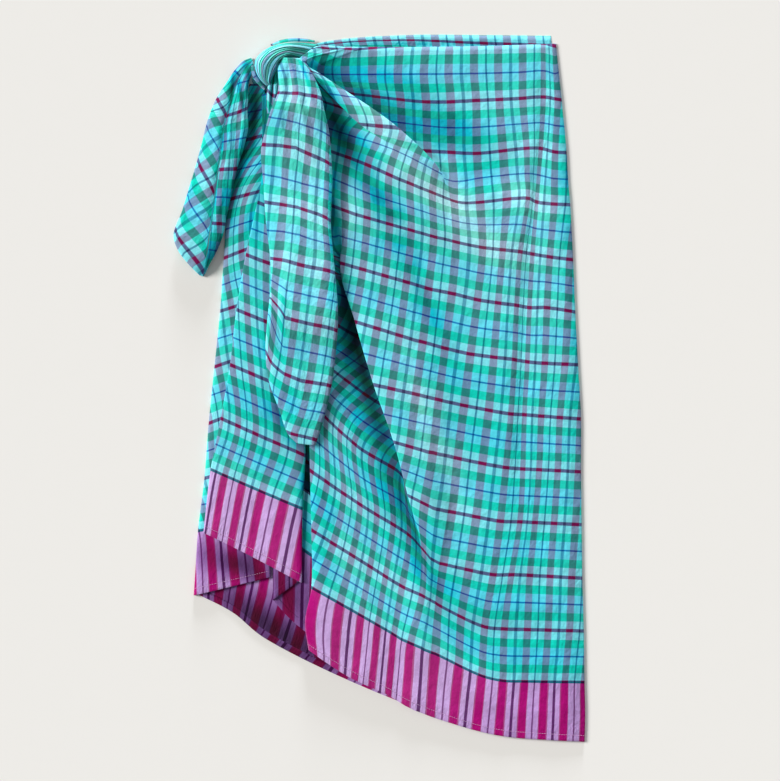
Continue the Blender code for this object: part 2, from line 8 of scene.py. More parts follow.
import bpy
import numpy as np
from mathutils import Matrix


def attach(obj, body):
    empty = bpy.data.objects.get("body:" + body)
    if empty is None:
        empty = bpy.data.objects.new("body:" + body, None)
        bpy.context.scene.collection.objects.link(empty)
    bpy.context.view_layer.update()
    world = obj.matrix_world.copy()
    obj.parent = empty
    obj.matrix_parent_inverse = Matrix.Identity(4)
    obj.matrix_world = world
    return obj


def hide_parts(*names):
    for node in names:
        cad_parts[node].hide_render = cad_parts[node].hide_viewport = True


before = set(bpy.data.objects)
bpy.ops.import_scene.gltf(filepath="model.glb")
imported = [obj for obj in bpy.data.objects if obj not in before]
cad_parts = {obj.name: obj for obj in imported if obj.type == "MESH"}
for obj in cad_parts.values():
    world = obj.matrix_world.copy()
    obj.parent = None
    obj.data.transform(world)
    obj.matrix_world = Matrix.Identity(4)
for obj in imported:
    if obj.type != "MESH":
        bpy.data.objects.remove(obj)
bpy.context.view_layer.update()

MM = 0.001
ORIGIN = (0.0, 1.3)
CLOTH = 0.7               # thickness of the woven cloth
STRIPE = 34.0             # from one plum warp stripe to the next
REPEAT = 74.5             # from one maroon weft line to the next
BORDER_ROW = 12
BORDER_DEPTH = 84.0
CLOTH_LENGTH = BORDER_ROW * REPEAT + BORDER_DEPTH
HEM = 9.0                 # depth of the turned hem
HEM_TURN = 0.45           # radius at which a hem turns

# Front panel: repeats down from the waist, then the place (x, y) of the line at each column.
FRONT_COLUMNS = ("side", "stripe_0", "stripe_1", "stripe_2", "stripe_4", "middle",
                 "ridge_foot", "ridge_turn", "ridge_edge", "fold_lip", "fold_turn", "fold_seat",
                 "far", "rolled_edge")
FRONT_LINES = (
    (0, (247, 484), (244, 484), (230, 483), (200, 482), (132, 480), (47, 479), (-10, 479),
     (-22, 479), (-34, 479), (-50, 479), (-58, 480), (-66, 480), (-80, 481), (-90, 478)),
    (0.5, (251, 444), (246, 442), (230, 446), (200, 444), (132, 442), (26, 441), (-80, 441),
     (-92, 443), (-103, 456), (-106, 457), (-108, 458), (-109, 459), (-112, 460), (-114, 460)),
    (1, (255, 405), (248, 406), (230, 409), (200, 407), (135, 404), (65, 402), (-37, 413),
     (-64, 416), (-79, 437), (-92, 442), (-99, 444), (-104, 446), (-112, 448), (-120, 450)),
    (2, (262, 331), (245, 332), (226, 337), (206, 337), (136, 330), (101, 331), (62, 333),
     (28, 335), (26, 364), (-10, 367), (-27, 369), (-47, 390), (-68, 398), (-89, 405)),
    (2.5, (264, 294), (244, 295), (223, 300), (207, 302), (138, 295), (118, 291), (100, 291),
     (86, 296), (87, 300), (45, 322), (20, 334), (-4, 343), (-42, 355), (-88, 370)),
    (3, (267, 258), (244, 259), (220, 262), (208, 267), (140, 261), (118, 260), (103, 263),
     (98, 265), (92, 267), (22, 295), (-10, 310), (-36, 321), (-64, 331), (-89, 339)),
    (4, (271, 181), (238, 185), (214, 189), (197, 192), (144, 198), (114, 204), (98, 208),
     (90, 210), (80, 212), (-34, 244), (-50, 250), (-66, 256), (-80, 262), (-94, 267)),
    (5, (274, 108), (234, 114), (210, 114), (192, 117), (137, 125), (105, 133), (70, 140),
     (60, 143), (50, 146), (-55, 176), (-48, 181), (-58, 184), (-78, 191), (-97, 197)),
    (6, (278, 34), (231, 36), (207, 38), (189, 41), (127, 49), (100, 55), (70, 63),
     (60, 66), (50, 68), (-34, 94), (8, 140), (-54, 160), (-80, 169), (-102, 178)),
    (7, (282, -42), (226, -38), (203, -36), (184, -35), (118, -23), (100, -19), (78, -14),
     (70, -12), (62, -10), (-8, 6), (38, 55), (-29, 73), (-63, 91), (-100, 106)),
    (8, (282, -116), (223, -113), (201, -112), (177, -110), (109, -97), (97, -94), (82, -91),
     (75, -89), (68, -88), (20, -74), (44, -35), (0, -20), (-45, 11), (-99, 52)),
    (9, (283, -190), (217, -187), (197, -186), (169, -185), (101, -172), (94, -171), (86, -169),
     (80, -168), (74, -166), (40, -149), (36, -134), (30, -119), (-30, -81), (-98, -18)),
    (10, (284, -265), (210, -261), (185, -260), (159, -260), (89, -245), (84, -244), (80, -242),
     (76, -240), (71, -237), (61, -225), (47, -209), (34, -199), (-25, -163), (-97, -114)),
    (11, (286, -339), (207, -337), (175, -336), (147, -333), (82, -302), (78, -299), (74, -297),
     (71, -295), (67, -293), (60, -289), (46, -283), (31, -276), (-25, -241), (-95, -197)),
    (12, (287, -411), (203, -410), (173, -409), (143, -402), (78, -371), (72, -369), (67, -367),
     (62, -365), (57, -362), (43, -356), (31, -351), (20, -344), (-35, -312), (-95, -278)),
    (12.5, (288, -455), (200, -449), (170, -447), (139, -440), (74, -414), (69, -412), (64, -410),
     (59, -408), (54, -406), (39, -400), (27, -393), (16, -386), (-40, -357), (-104, -326)),
    (13, (287, -494), (198, -489), (167, -485), (135, -478), (71, -458), (66, -456), (61, -454),
     (56, -452), (50, -450), (36, -443), (23, -435), (12, -428), (-44, -402), (-99, -365)),
)
# Number of the warp stripe at the same places.
FRONT_STRIPES = (
    (0, -0.1, 0, 1, 2, 4, 6.5, 8, 8.35, 8.7, 9.2, 9.4, 9.65, 10.05, 10.35),
    (0.5, -0.15, 0, 1, 2, 4, 7, 9.9, 10.3, 10.9, 11.05, 11.15, 11.2, 11.35, 11.5),
    (1, -0.2, 0, 1, 2, 4, 6, 8.9, 9.65, 10.4, 10.8, 11, 11.15, 11.4, 11.7),
    (2, -0.5, 0, 1, 2, 4, 5, 6.15, 7.2, 8.2, 9.3, 9.8, 10.7, 11.3, 11.9),
    (2.5, -0.55, 0, 1, 2, 4, 4.6, 5.1, 5.4, 5.65, 7.2, 8.1, 9, 10.1, 11.6),
    (3, -0.7, 0, 1, 2, 4, 4.6, 5.05, 5.2, 5.4, 7.7, 8.8, 9.7, 10.7, 11.5),
    (4, -1.15, 0, 1, 2, 4, 4.8, 5.3, 5.55, 5.85, 9.55, 10.05, 10.55, 11.05, 11.5),
    (5, -1.3, 0, 1, 2, 4, 4.9, 5.95, 6.25, 6.6, 10.05, 10.4, 10.7, 11.4, 12),
    (6, -1.6, 0, 1, 2, 4, 4.75, 5.7, 6, 6.3, 8.95, 10.8, 12.7, 13.5, 14.1),
    (7, -2.05, 0, 1, 2, 4, 4.5, 5.15, 5.4, 5.65, 7.75, 9.85, 12, 13.05, 14.1),
    (8, -2.15, 0, 1, 2, 4, 4.35, 4.8, 5, 5.2, 6.65, 8, 9.3, 11, 13),
    (9, -2.3, 0, 1, 2, 4, 4.2, 4.4, 4.55, 4.7, 5.65, 6.1, 6.5, 8.75, 12.3),
    (10, -2.5, 0, 1, 2, 4, 4.15, 4.3, 4.45, 4.6, 5.05, 5.7, 6.35, 8.9, 12.05),
    (11, -2.7, 0, 1, 2, 4, 4.15, 4.3, 4.5, 4.7, 5, 5.5, 6, 8.5, 11.1),
    (12, -3, 0, 1, 2, 4, 4.15, 4.3, 4.45, 4.6, 5, 5.5, 6, 8.35, 10.2),
    (12.5, -3.03, 0, 1, 2, 4, 4.15, 4.3, 4.45, 4.6, 5, 5.5, 6, 8.35, 10.2),
    (13, -3.05, 0, 1, 2, 4, 4.15, 4.3, 4.45, 4.6, 5, 5.5, 6, 8.35, 10.2),
)
# Height of the cloth above the surface at the same places.
FRONT_HEIGHTS = (
    (0, 2.3, 3.2, 4.2, 4.4, 4.6, 5, 5.5, 5.8, 6.2, 7, 7.8, 8.5, 9.5, 10),
    (0.5, 2.8, 3.7, 4, 5, 5.2, 6, 7, 9.5, 12, 13, 13, 12.5, 12, 11),
    (1, 3.3, 4.2, 4, 5.5, 5.5, 6, 7, 9, 13, 15, 15, 14, 12.5, 11),
    (2, 3.3, 4.5, 4, 5.8, 6, 6.5, 7, 9, 13, 14.5, 14, 9.5, 11, 11),
    (2.5, 3.3, 4.5, 4, 5.8, 6, 6.3, 6.6, 7.8, 9, 12, 12, 10, 8, 10),
    (3, 3.3, 4.5, 4, 5.8, 6, 6.2, 6.6, 7, 7.5, 10.5, 10, 8.5, 8, 9),
    (4, 3.3, 4.5, 4, 5.8, 6, 6.2, 6.5, 6.8, 7.2, 9.8, 9.2, 8.6, 8.5, 8.5),
    (5, 3.3, 4.5, 4.2, 5.8, 6, 6.6, 7.4, 7.8, 8, 10.5, 8, 6, 6.5, 7),
    (6, 3.3, 4.5, 4.3, 5.8, 6.5, 7.2, 8.6, 9.1, 9.6, 11, 7, 5, 5.8, 7),
    (7, 3.3, 4.5, 4.4, 5.8, 6.5, 7.6, 9.1, 9.6, 10, 11, 7, 5, 6.2, 8),
    (8, 3.3, 4.5, 4.6, 5.8, 6.5, 7.4, 8.9, 9.4, 9.8, 10.5, 7, 5, 7, 8.8),
    (9, 3.3, 4.5, 4.8, 5.8, 7, 7.8, 8.4, 8.8, 9.2, 10.5, 9, 7.5, 7.8, 9),
    (10, 3.3, 4.3, 5, 5.8, 7.5, 7.9, 8.2, 8.5, 8.9, 9.2, 8.2, 7.2, 8.2, 9),
    (11, 3.3, 4.2, 5.2, 5.6, 7.2, 7.5, 7.8, 8, 8.2, 8.2, 7.4, 7, 8.4, 9),
    (12, 3.3, 4.1, 5.2, 5.6, 6.6, 6.9, 7.2, 7.4, 7.5, 7.6, 7.2, 7.2, 8.4, 9),
    (12.5, 3.3, 4.1, 5.2, 5.6, 6.4, 6.7, 7, 7.2, 7.3, 7.4, 7.2, 7.4, 8.4, 9),
    (13, 3.3, 4.1, 5.2, 5.6, 6.2, 6.5, 6.9, 7.1, 7.3, 7.4, 7.2, 7.6, 8.4, 9),
)
# How far the first maroon line lies above the waist edge, in repeats; minus where it shows.
WAIST_TURN = (-0.05, -0.04, 0.02, 0.04, 0.05, 0.04, -0.02, -0.05, -0.07, -0.09, -0.1, -0.1, -0.1,
              -0.1)
# Radius at which the front panel turns over in its folds; minus where it turns upward.
FRONT_FOLDS = ("ridge_turn", "ridge_edge", "fold_lip", "fold_turn")
FRONT_FOLD_RADII = (
    (0, 0, 0, 0, 0), (0.5, -1.8, -1.8, 0, 0), (1, -2, -2, 0, 0), (2, -2, -2, 0, 0),
    (2.5, -0.7, -0.7, 0, 0), (3, 0, 0, 0, 0), (4, 0, 0, 0, 0), (5, 0, 0, 1.4, 1.2),
    (6, 0, 0, 2, 2), (7, 0, 0, 2, 2), (8, 0, 0, 1.8, 1.8), (9, 0, 0, 0.5, 0), (10, 0, 0, 0, 0),
    (11, 0, 0, 0, 0), (12, 0, 0, 0, 0), (12.5, 0, 0, 0, 0), (13, 0, 0, 0, 0),
)
FRONT_PIECES_DOWN = [6, 6, 10, 8, 8, 12, 12, 12, 12, 12, 12, 12, 12, 12, 8, 12]
SIDE_PIECES_DOWN = [16, 14, 14, 12, 12, 12, 12, 12, 8, 12]
LEFT_PIECES_DOWN = [14, 12, 22, 14, 14, 14, 14, 20]
FRONT_PIECES_ACROSS = (1, 3, 3, 2, 5, 4, 8, 8, 8, 3, 3, 6, 3, 3, 8, 3, 3, 8, 3, 3, 6, 8, 8, 3,
                       3, 2, 1)
ROLLED_EDGE_RADIUS = 1.3
ROLLED_EDGE_FLAP = 5
SIDE_FOLD_FLAP = 3
FLOOR_LEVEL = 0.6
RIDGE_LIFT = 1.2          # how much further the soft ridges stand up than the plain wall

# Free end of the cloth, below the knot.
LEFT_LINES = (
    (5.5, (-164, 412), (-150, 416), (-134, 419)),
    (6, (-164, 349), (-143, 353), (-117, 349)),
    (6.5, (-164, 300), (-142, 293), (-115, 281)),
    (8, (-187, 188), (-152, 175), (-111, 162)),
    (9, (-200, 111), (-158, 94), (-108, 74)),
    (10, (-209, 34), (-159, 13), (-106, -10)),
    (11, (-222, -41), (-164, -67), (-104, -93)),
    (12, (-236, -113), (-172, -141), (-108, -168)),
    (13, (-246, -201), (-183, -232), (-109, -271)),
)
LEFT_STRIPES = (
    (5.5, 22.8, 22.3, 21.8), (6, 22.6, 21.8, 21), (6.5, 22.4, 21.6, 20.7), (8, 23, 21.75, 20.3),
    (9, 23.6, 22, 20.25), (10, 24.1, 22.3, 20.5), (11, 25, 22.65, 20.8),
    (12, 24.8, 22.25, 20.25), (13, 24.6, 22, 19.7),
)
LEFT_HEIGHTS = (7.2, 8.6, 9.2)
LEFT_FOLD_RADIUS = 1.5
LEFT_FOLD_FLAP = 3

# Tucked fold, seen only at the hem: middle above, tip, middle below, hidden end.
TUCK_LINES = (
    (11, (-126, -102), (-146, -112), (-120, -130), (-70, -165)),
    (12, (-128, -178), (-148, -190), (-125, -212), (-72, -250)),
    (13, (-127, -279), (-149, -295), (-127, -320), (-76, -362)),
)
TUCK_STRIPES = (19.4, 18.45, 17.5, 17, 15.5)
TUCK_BELOW = 3.2

# Side wrap: from the side fold in under the free end.
SIDE_LINES = (
    (4, (-182, 427), (-173, 427), (-161, 427)),
    (5, (-196, 346), (-178, 351), (-156, 357)),
    (6, (-212, 265), (-186, 272), (-139, 284)),
    (7, (-218, 183), (-188, 195), (-128, 211)),
    (8, (-223, 109), (-191, 119), (-125, 136)),
    (9, (-231, 31), (-195, 43), (-125, 60)),
    (10, (-239, -48), (-206, -36), (-136, -18)),
    (11, (-245, -125), (-209, -115), (-153, -102)),
    (12, (-254, -199), (-212, -192), (-155, -181)),
    (12.5, (-257, -244), (-209, -234), (-153, -222)),
    (13, (-260, -289), (-205, -276), (-152, -263)),
)
SIDE_STRIPES = (
    (4, -20, -20.6, -21.2), (5, -22, -22.9, -23.8), (6, -23.6, -25, -26.4),
    (7, -23.9, -25.2, -26.95), (8, -23.4, -24.6, -26.5), (9, -22.8, -24.05, -26.1),
    (10, -21.95, -23.25, -25.3), (11, -21.5, -22.8, -24.4), (12, -20.45, -21.95, -23.6),
    (12.5, -20.2, -21.9, -23.5), (13, -20.05, -21.9, -23.4),
)
SIDE_HEIGHT = 5.0

# Back panel: left side above the wrap, then the curved edges; stripes at the left side.
BACK_LEFT_ABOVE_WRAP = (
    (0, (-164, 461)), (0.5, (-168, 456)), (1, (-170, 450)), (2, (-174, 442)),
    (2.5, (-176, 438)), (3, (-179, 433)),
)
BACK_COLUMNS = (0, 0.1, 0.25, 0.68, 1)
BACK_TOP = ((-75, 487), (38, 496), (139, 496), (240, 495))
BACK_HEM = ((-206, -313), (-158, -351), (85, -458))
BACK_HEM_STRIPES = (-20.05, -18.2, -16.2, -9, -3.05)

# Knot: sections round the wrapped band, from where it leaves the front panel.
KNOT_SECTIONS = (
    (-86, 482, -112, 461, 6, 13),
    (-108, 485, -120, 462, 3, 20),
    (-124, 485, -126, 463, 1.6, 26),
    (-139, 483, -131, 461, 1.6, 31),
    (-154, 478, -136, 457, 1.6, 34),
    (-166, 470, -140, 452, 1.6, 35),
    (-174, 459, -144, 445, 1.6, 33),
    (-174, 446, -148, 437, 4, 29),
    (-168, 434, -152, 429, 6.5, 23),
    (-158, 424, -152, 424, 7, 16),
)
KNOT_PLEATS = 8
KNOT_PLEAT_DEPTH = 3.6
STRAND_PATH = ((-178, 452, 8), (-177, 443, 9.5), (-172, 434, 10), (-166, 426, 9.2),
               (-160, 419, 8.8))
ROLL_PATH = ((-91, 487, 4.2), (-104, 488, 7), (-122, 488.3, 10), (-138, 486, 9), (-152, 481.5, 6))
ROLL_RADIUS = 2.6

# Tails: left and right edge of each section, from the knot to the tip.
LONG_TAIL_SECTIONS = (
    ((-136, 461), (-110, 460)), ((-141, 448), (-101, 448)), ((-140.5, 433), (-91, 433)),
    ((-141.5, 412), (-82, 412)), ((-151, 388), (-77, 388)), ((-159, 361), (-71, 361)),
    ((-165, 333), (-68, 333)), ((-162, 290), (-66, 290)), ((-158, 232), (-68, 232)),
    ((-152, 181), (-64, 181)), ((-152, 139), (-60, 139)), ((-156, 97), (-58, 97)),
    ((-159, 53), (-61, 53)), ((-154, 11), (-66, 11)), ((-139, -31), (-75, -31)),
    ((-128, -62), (-84, -62)), ((-115, -76), (-90, -79)),
)
# Stripe number at the left edge, a quarter across, middle and right edge, then the repeats.
LONG_TAIL_CLOTH = (
    (24.4, 24.2, 24, 23.6, 0.25, 0.22, 0.2, 0.1),
    (24.7, 24.35, 24, 23.3, 0.42, 0.42, 0.42, 0.35),
    (24.85, 24.4, 23.87, 22.9, 0.65, 0.65, 0.66, 0.58),
    (24.95, 24.4, 23.8, 22.6, 1, 0.99, 0.98, 0.9),
    (25, 24.4, 23.72, 22.35, 1.37, 1.33, 1.28, 1.16),
    (24.95, 24.35, 23.62, 22, 1.75, 1.7, 1.63, 1.41),
    (25.08, 24.35, 23.65, 21.75, 2.1, 2.08, 2.04, 1.73),
    (24.9, 24.2, 23.4, 21.6, 2.63, 2.56, 2.48, 2.29),
    (24.6, 24, 23.3, 21.6, 3.37, 3.34, 3.29, 3.03),
    (24.3, 23.7, 23, 21.65, 4.02, 3.97, 3.89, 3.76),
    (24.2, 23.5, 22.8, 21.35, 4.75, 4.48, 4.41, 4.27),
    (24.4, 23.45, 22.7, 20.98, 5.65, 5.03, 4.95, 4.8),
    (24.3, 23.4, 22.6, 20.9, 6.0, 5.58, 5.52, 5.36),
    (23.8, 23.1, 22.4, 20.85, 6.35, 6.13, 6.01, 5.91),
    (23, 22.5, 22, 20.85, 6.72, 6.63, 6.54, 6.46),
    (22.3, 21.95, 21.6, 20.85, 7.02, 6.97, 6.94, 6.87),
    (21.9, 21.65, 21.4, 21, 7.2, 7.18, 7.15, 7.1),
)
ROOT_FOLD_SECTIONS = (
    ((-146, 452), (-144, 451)), ((-153, 437), (-141, 439)), ((-156, 422), (-139, 424)),
    ((-157.5, 407), (-140, 409)), ((-157.5, 394), (-146, 395)), ((-156.5, 385), (-152, 385)),
)
ROOT_FOLD_CLOTH = (
    (24.2, 24.6, 25, 25.4, 0.6, 0.6, 0.6, 0.6), (24.1, 24.7, 25.3, 25.9, 0.75, 0.7, 0.7, 0.75),
    (24.1, 24.8, 25.5, 26.2, 0.95, 0.85, 0.85, 0.9), (24, 24.7, 25.4, 26.1, 1.15, 1.05, 1, 1.05),
    (24, 24.5, 25, 25.5, 1.35, 1.25, 1.2, 1.2), (24, 24.2, 24.4, 24.6, 1.45, 1.4, 1.35, 1.35),
)
ROOT_FOLD_CREASES = (
    (-148, 446, -149, 420, -152, 390, 1.6, -2.4),
    (-152, 440, -154, 415, -155, 392, 1.8, 1.2),
    (-144, 442, -143, 420, -147, 394, 1.8, 1.4),
)
# Painted shade along the creases of the root fold.
ROOT_FOLD_PAINTED_SHADING = (
    (-148, 448, -149, 420, -152, 388, 1.8, 0.75),
    (-139, 446, -137, 420, -146, 390, 3, 0.7),
)
SHORT_TAIL_SECTIONS = (
    ((-180, 464), (-178, 460), (-176, 452)), ((-191, 458), (-187, 450), (-180, 438)),
    ((-203, 445), (-197, 433), (-184, 423)), ((-215, 426), (-204, 413), (-184, 406)),
    ((-227.5, 407), (-211.5, 390.5), (-185, 386.5)), ((-240, 376), (-218, 365.5), (-184, 364)),
    ((-248, 344.5), (-222.5, 336), (-189, 341.5)), ((-255.5, 316.5), (-225.5, 306.5), (-199, 309.5)),
    ((-265.5, 283), (-229, 276), (-206, 278.5)), ((-276, 249), (-233, 245), (-213, 248)),
    ((-287.8, 215.5), (-237.5, 213), (-218.5, 217)), ((-281.5, 194), (-240, 189), (-229, 190.5)),
    ((-265.5, 173), (-243.5, 170), (-238, 174.5)), ((-252, 159.5), (-247, 158), (-244.5, 161.5)),
)
# Stripe number at the left edge, on both sides of the ridge and at the right edge, then the
# repeats at the same places.
SHORT_TAIL_CLOTH = (
    (19.7, 20.5, 27.5, 28.3, 0.25, 0.3, 0.1, 0.25),
    (19.8, 20.8, 27.4, 28.5, 0.35, 0.38, 0.2, 0.42),
    (20, 21.1, 27.3, 28.6, 0.5, 0.55, 0.42, 0.62),
    (20.3, 21.4, 27.1, 28.7, 0.75, 0.72, 0.65, 0.83),
    (20.8, 21.8, 27, 28.75, 1, 0.92, 0.88, 1.08),
    (21.85, 22.25, 26.85, 28.85, 1.42, 1.16, 1.22, 1.36),
    (22.25, 22.9, 26.5, 28.85, 1.77, 1.46, 1.62, 1.62),
    (22.68, 23.44, 26.7, 28.2, 2.05, 1.72, 2, 1.98),
    (23.33, 24.13, 26.75, 27.9, 2.4, 1.96, 2.4, 2.36),
    (23.96, 24.81, 26.6, 27.6, 2.74, 2.24, 2.82, 2.76),
    (24.57, 25.52, 26.4, 27.3, 3.08, 2.54, 3.26, 3.18),
    (25.2, 26.05, 26.4, 26.95, 3.17, 2.76, 3.58, 3.54),
    (26, 26.45, 26.4, 26.7, 3.14, 2.94, 3.84, 3.76),
    (26.55, 26.67, 26.5, 26.6, 3.08, 3.04, 4, 3.95),
)
TAIL_FOLD_RADIUS = 2.2
TAIL_TURN_UNDER = 16
TAIL_PUFF = 3.0
TAIL_CLEARANCE = 0.5
TAIL_REACH = 9
TAIL_STEP_DOWN = 3.0
LONG_TAIL_ROOT_LEVEL = 17

# Creases: start, bend and end of each line, its half width, and its height, minus for a trough.
FRONT_CREASES = (
    (-30, 372, 90, 272, 190, 190, 52, 7.5),
    (70, 420, 142, 318, 226, 262, 30, -3.4),
    (-60, 462, 60, 436, 130, 392, 20, -1.6),
    (-10, 458, 80, 425, 160, 352, 16, 1.6),
    (120, 470, 170, 420, 215, 330, 17, -1.2),
    (40, 350, 70, 300, 90, 225, 13, 1.6),
    (230, 470, 236, 330, 205, 180, 6, -1.4),
    (215, 470, 216, 330, 190, 200, 9, 1.2),
    (205, 180, 196, 20, 200, -160, 8, -1.6),
    (180, 170, 172, 20, 176, -120, 12, 1.2),
    (262, 300, 268, 100, 272, -80, 9, -1.0),
    (-36, 150, 40, -20, 100, -190, 17, 3.4),
    (40, 150, 92, -10, 150, -190, 26, -1.5),
    (20, 215, 110, 60, 170, -60, 24, 1.6),
    (60, 230, 140, 110, 200, 60, 16, -1.2),
    (22, -113, 66, -235, 138, -395, 14, -4.2),
    (60, -150, 100, -260, 160, -390, 15, 2.2),
    (-2, -130, 34, -270, 84, -400, 17, 2.2),
    (-60, -60, -30, -200, 10, -330, 13, -1.6),
    (-84, -120, -70, -250, -50, -380, 10, 1.4),
    (-36, -150, -20, -290, 6, -395, 9, 1.2),
    (120, -330, 170, -350, 230, -345, 14, -1.3),
    (150, -300, 200, -310, 262, -300, 11, 1.1),
    (60, -395, 90, -430, 140, -462, 9, -1.1),
    (100, -400, 140, -440, 200, -455, 11, 1.1),
    (210, -380, 222, -440, 215, -488, 8, -1.1),
    (240, -330, 262, -400, 268, -480, 10, 1.1),
    (-70, 60, -60, -40, -75, -150, 8, 1.0),
    (-45, 40, -30, -40, -20, -110, 9, -1.1),
    (-84, 430, -66, 385, -40, 330, 9, -2.0),
    (-62, 352, -6, 284, 34, 210, 12, -3.6),
    (24, 236, 62, 136, 130, 10, 15, -2.2),
    (-84, 330, -70, 270, -40, 190, 9, 2.0),
    (-80, 330, -40, 300, 10, 250, 10, -1.6),
    (-86, 285, -40, 245, 30, 210, 13, 1.6),
)
LEFT_CREASES = (
    (-160, 400, -158, 300, -182, 180, 5, -1.0),
    (-148, 412, -140, 300, -160, 160, 5, 1.3),
    (-139, 412, -128, 290, -140, 120, 5, -1.2),
    (-170, 120, -160, 20, -185, -90, 10, 0.8),
    (-140, 60, -130, -30, -140, -150, 9, -0.8),
    (-215, 0, -180, -40, -150, -120, 8, -0.6),
    (-200, -60, -165, -80, -120, -80, 9, 0.7),
    (-215, -140, -190, -170, -195, -210, 7, -0.6),
    (-160, -160, -150, -200, -155, -240, 8, 0.6),
)
SIDE_CREASES = (
    (-178, 426, -180, 380, -196, 300, 4, 1.1),
    (-172, 426, -170, 370, -182, 280, 4, -1.1),
    (-166, 426, -160, 370, -166, 280, 4, 1.0),
    (-205, 240, -208, 140, -214, 60, 6, -0.6),
    (-235, -180, -228, -230, -232, -275, 6, 0.5),
)
BACK_CREASES = (
    (-150, 380, -60, 200, -90, -50, 26, 0.22),
    (40, 440, 90, 150, 40, -200, 30, 0.22),
    (200, 300, 160, -50, 190, -400, 28, 0.2),
    (-262, -290, -170, -342, -30, -410, 16, 1.2),
)
LONG_TAIL_CREASES = (
    (-122, 462, -112, 420, -100, 330, 4, 2.0),
    (-117, 462, -104, 424, -92, 350, 3, -2.2),
    (-108, 462, -94, 420, -82, 350, 4, 1.6),
    (-128, 462, -124, 430, -124, 380, 3, -1.8),
    (-134, 458, -138, 410, -140, 330, 5, 1.8),
    (-84, 350, -80, 290, -88, 220, 6, -1.5),
    (-92, 340, -90, 280, -100, 200, 7, 1.0),
    (-128, 300, -120, 200, -128, 100, 12, 0.9),
    (-140, 260, -142, 200, -140, 150, 6, -0.9),
    (-140, 135, -130, 110, -132, 72, 5, 1.8),
    (-148, 120, -142, 96, -140, 70, 6, -1.2),
    (-145, 40, -120, 10, -90, -20, 9, 0.8),
    (-100, 100, -95, 20, -105, -50, 8, -0.8),
)
SHORT_TAIL_CREASES = (
    (-186, 452, -200, 436, -206, 400, 3, -1.8),
    (-182, 446, -190, 420, -196, 380, 3, 1.6),
    (-196, 450, -212, 426, -226, 384, 5, 1.6),
    (-211, 400, -219, 366, -223, 330, 4, -2.4),
    (-204, 400, -209, 366, -213, 320, 4, 1.8),
    (-196, 392, -199, 350, -206, 310, 4, -1.2),
    (-188, 400, -190, 366, -196, 330, 4, 1.6),
    (-223, 330, -229, 276, -240, 200, 5, -2.0),
    (-232, 350, -244, 290, -256, 210, 12, 1.8),
    (-216, 320, -220, 276, -230, 210, 4, 1.6),
)

# Painted shade, put into the cloth's colour where little light reaches: start, bend and end of
# each line, half width and darkness. A darkness below nothing is a painted highlight: the cloth there
# is paler.
# On the front panel the first word says which stretch it lies on: the waist, the belly between
# the ridge and the deep fold, or the seat under the deep fold.
FRONT_PAINTED_SHADING = (
    ("waist", -105, 462, -38, 425, 85, 340, 15, 0.7),
    ("waist", -70, 456, -10, 440, 46, 424, 12, 0.2),
    ("waist", 50, 350, 130, 256, 190, 170, 28, -0.24),
    ("waist", 200, 360, 222, 120, 200, -120, 44, -0.09),
    ("waist", 62, -10, 88, -90, 112, -170, 15, -0.18),
    ("waist", 58, -196, 84, -270, 124, -350, 20, 0.26),
    ("waist", 120, -470, 200, -482, 280, -470, 36, 0.16),
    ("waist", -40, 446, 80, 384, 156, 316, 28, 0.38),
    ("waist", 60, 400, 120, 330, 160, 250, 30, 0.2),
    ("waist", 100, 336, 172, 288, 236, 250, 22, -0.18),
    ("waist", 250, 480, 262, 250, 282, -60, 8, 0.25),
    ("belly", -82, 412, -62, 360, -16, 316, 17, 0.9),
    ("belly", -64, 356, -8, 286, 34, 206, 11, 0.5),
    ("belly", 20, 230, 58, 140, 100, 40, 14, 0.3),
    ("belly", -66, 330, -64, 250, -58, 180, 6, 0.5),
    ("belly", -30, 392, 70, 280, 150, 190, 24, -0.26),
    ("belly", -80, 440, -34, 404, 20, 366, 10, -0.18),
    ("belly", -34, 296, -46, 236, -40, 170, 12, -0.17),
    ("belly", -12, 300, 6, 264, 26, 222, 11, 0.16),
    ("belly", 24, 90, 48, 10, 66, -90, 11, -0.21),
    ("waist", 76, 110, 110, 0, 160, -120, 24, 0.1),
    ("waist", 200, 120, 190, -100, 210, -300, 60, 0.12),
    ("seat", -58, 185, -38, 69, 20, -118, 17, 0.94),
    ("seat", -50, 150, -34, 40, -4, -60, 26, 0.6),
    ("seat", 8, -50, 40, -180, 84, -300, 13, 0.6),
    ("seat", 60, -240, 80, -330, 150, -420, 12, 0.45),
    ("seat", -104, -75, -100, -180, -103, -350, 5, 0.6),
    ("seat", -60, -190, -40, -250, -20, -310, 18, -0.09),
    ("seat", -84, -100, -82, -180, -76, -262, 14, 0.24),
    ("seat", -24, -40, -2, -110, 24, -200, 22, 0.28),
    ("seat", 20, -110, 48, -200, 82, -290, 20, 0.4),
    ("waist", 150, -300, 220, -400, 290, -420, 60, 0.16),
)
# Painted shade on the free end, with a painted highlight where the darkness is below nothing.
LEFT_PAINTED_SHADING = (
    (-163, 440, -162, 388, -168, 326, 7, 0.82),
    (-150, 436, -150, 366, -160, 250, 7, 0.78),
    (-166, 400, -164, 290, -176, 190, 10, 0.22),
    (-150, -16, -130, -60, -106, -86, 12, 0.45),
    (-190, 60, -160, -40, -150, -150, 50, 0.12),
    (-138, 412, -130, 350, -138, 200, 6, 0.6),
    (-160, 110, -156, 40, -132, -50, 7, 0.5),
    (-130, -40, -112, -75, -100, -80, 9, 0.5),
    (-106, -90, -105, -160, -110, -262, 5, 0.5),
    (-230, -100, -190, -130, -140, -150, 30, -0.08),
)
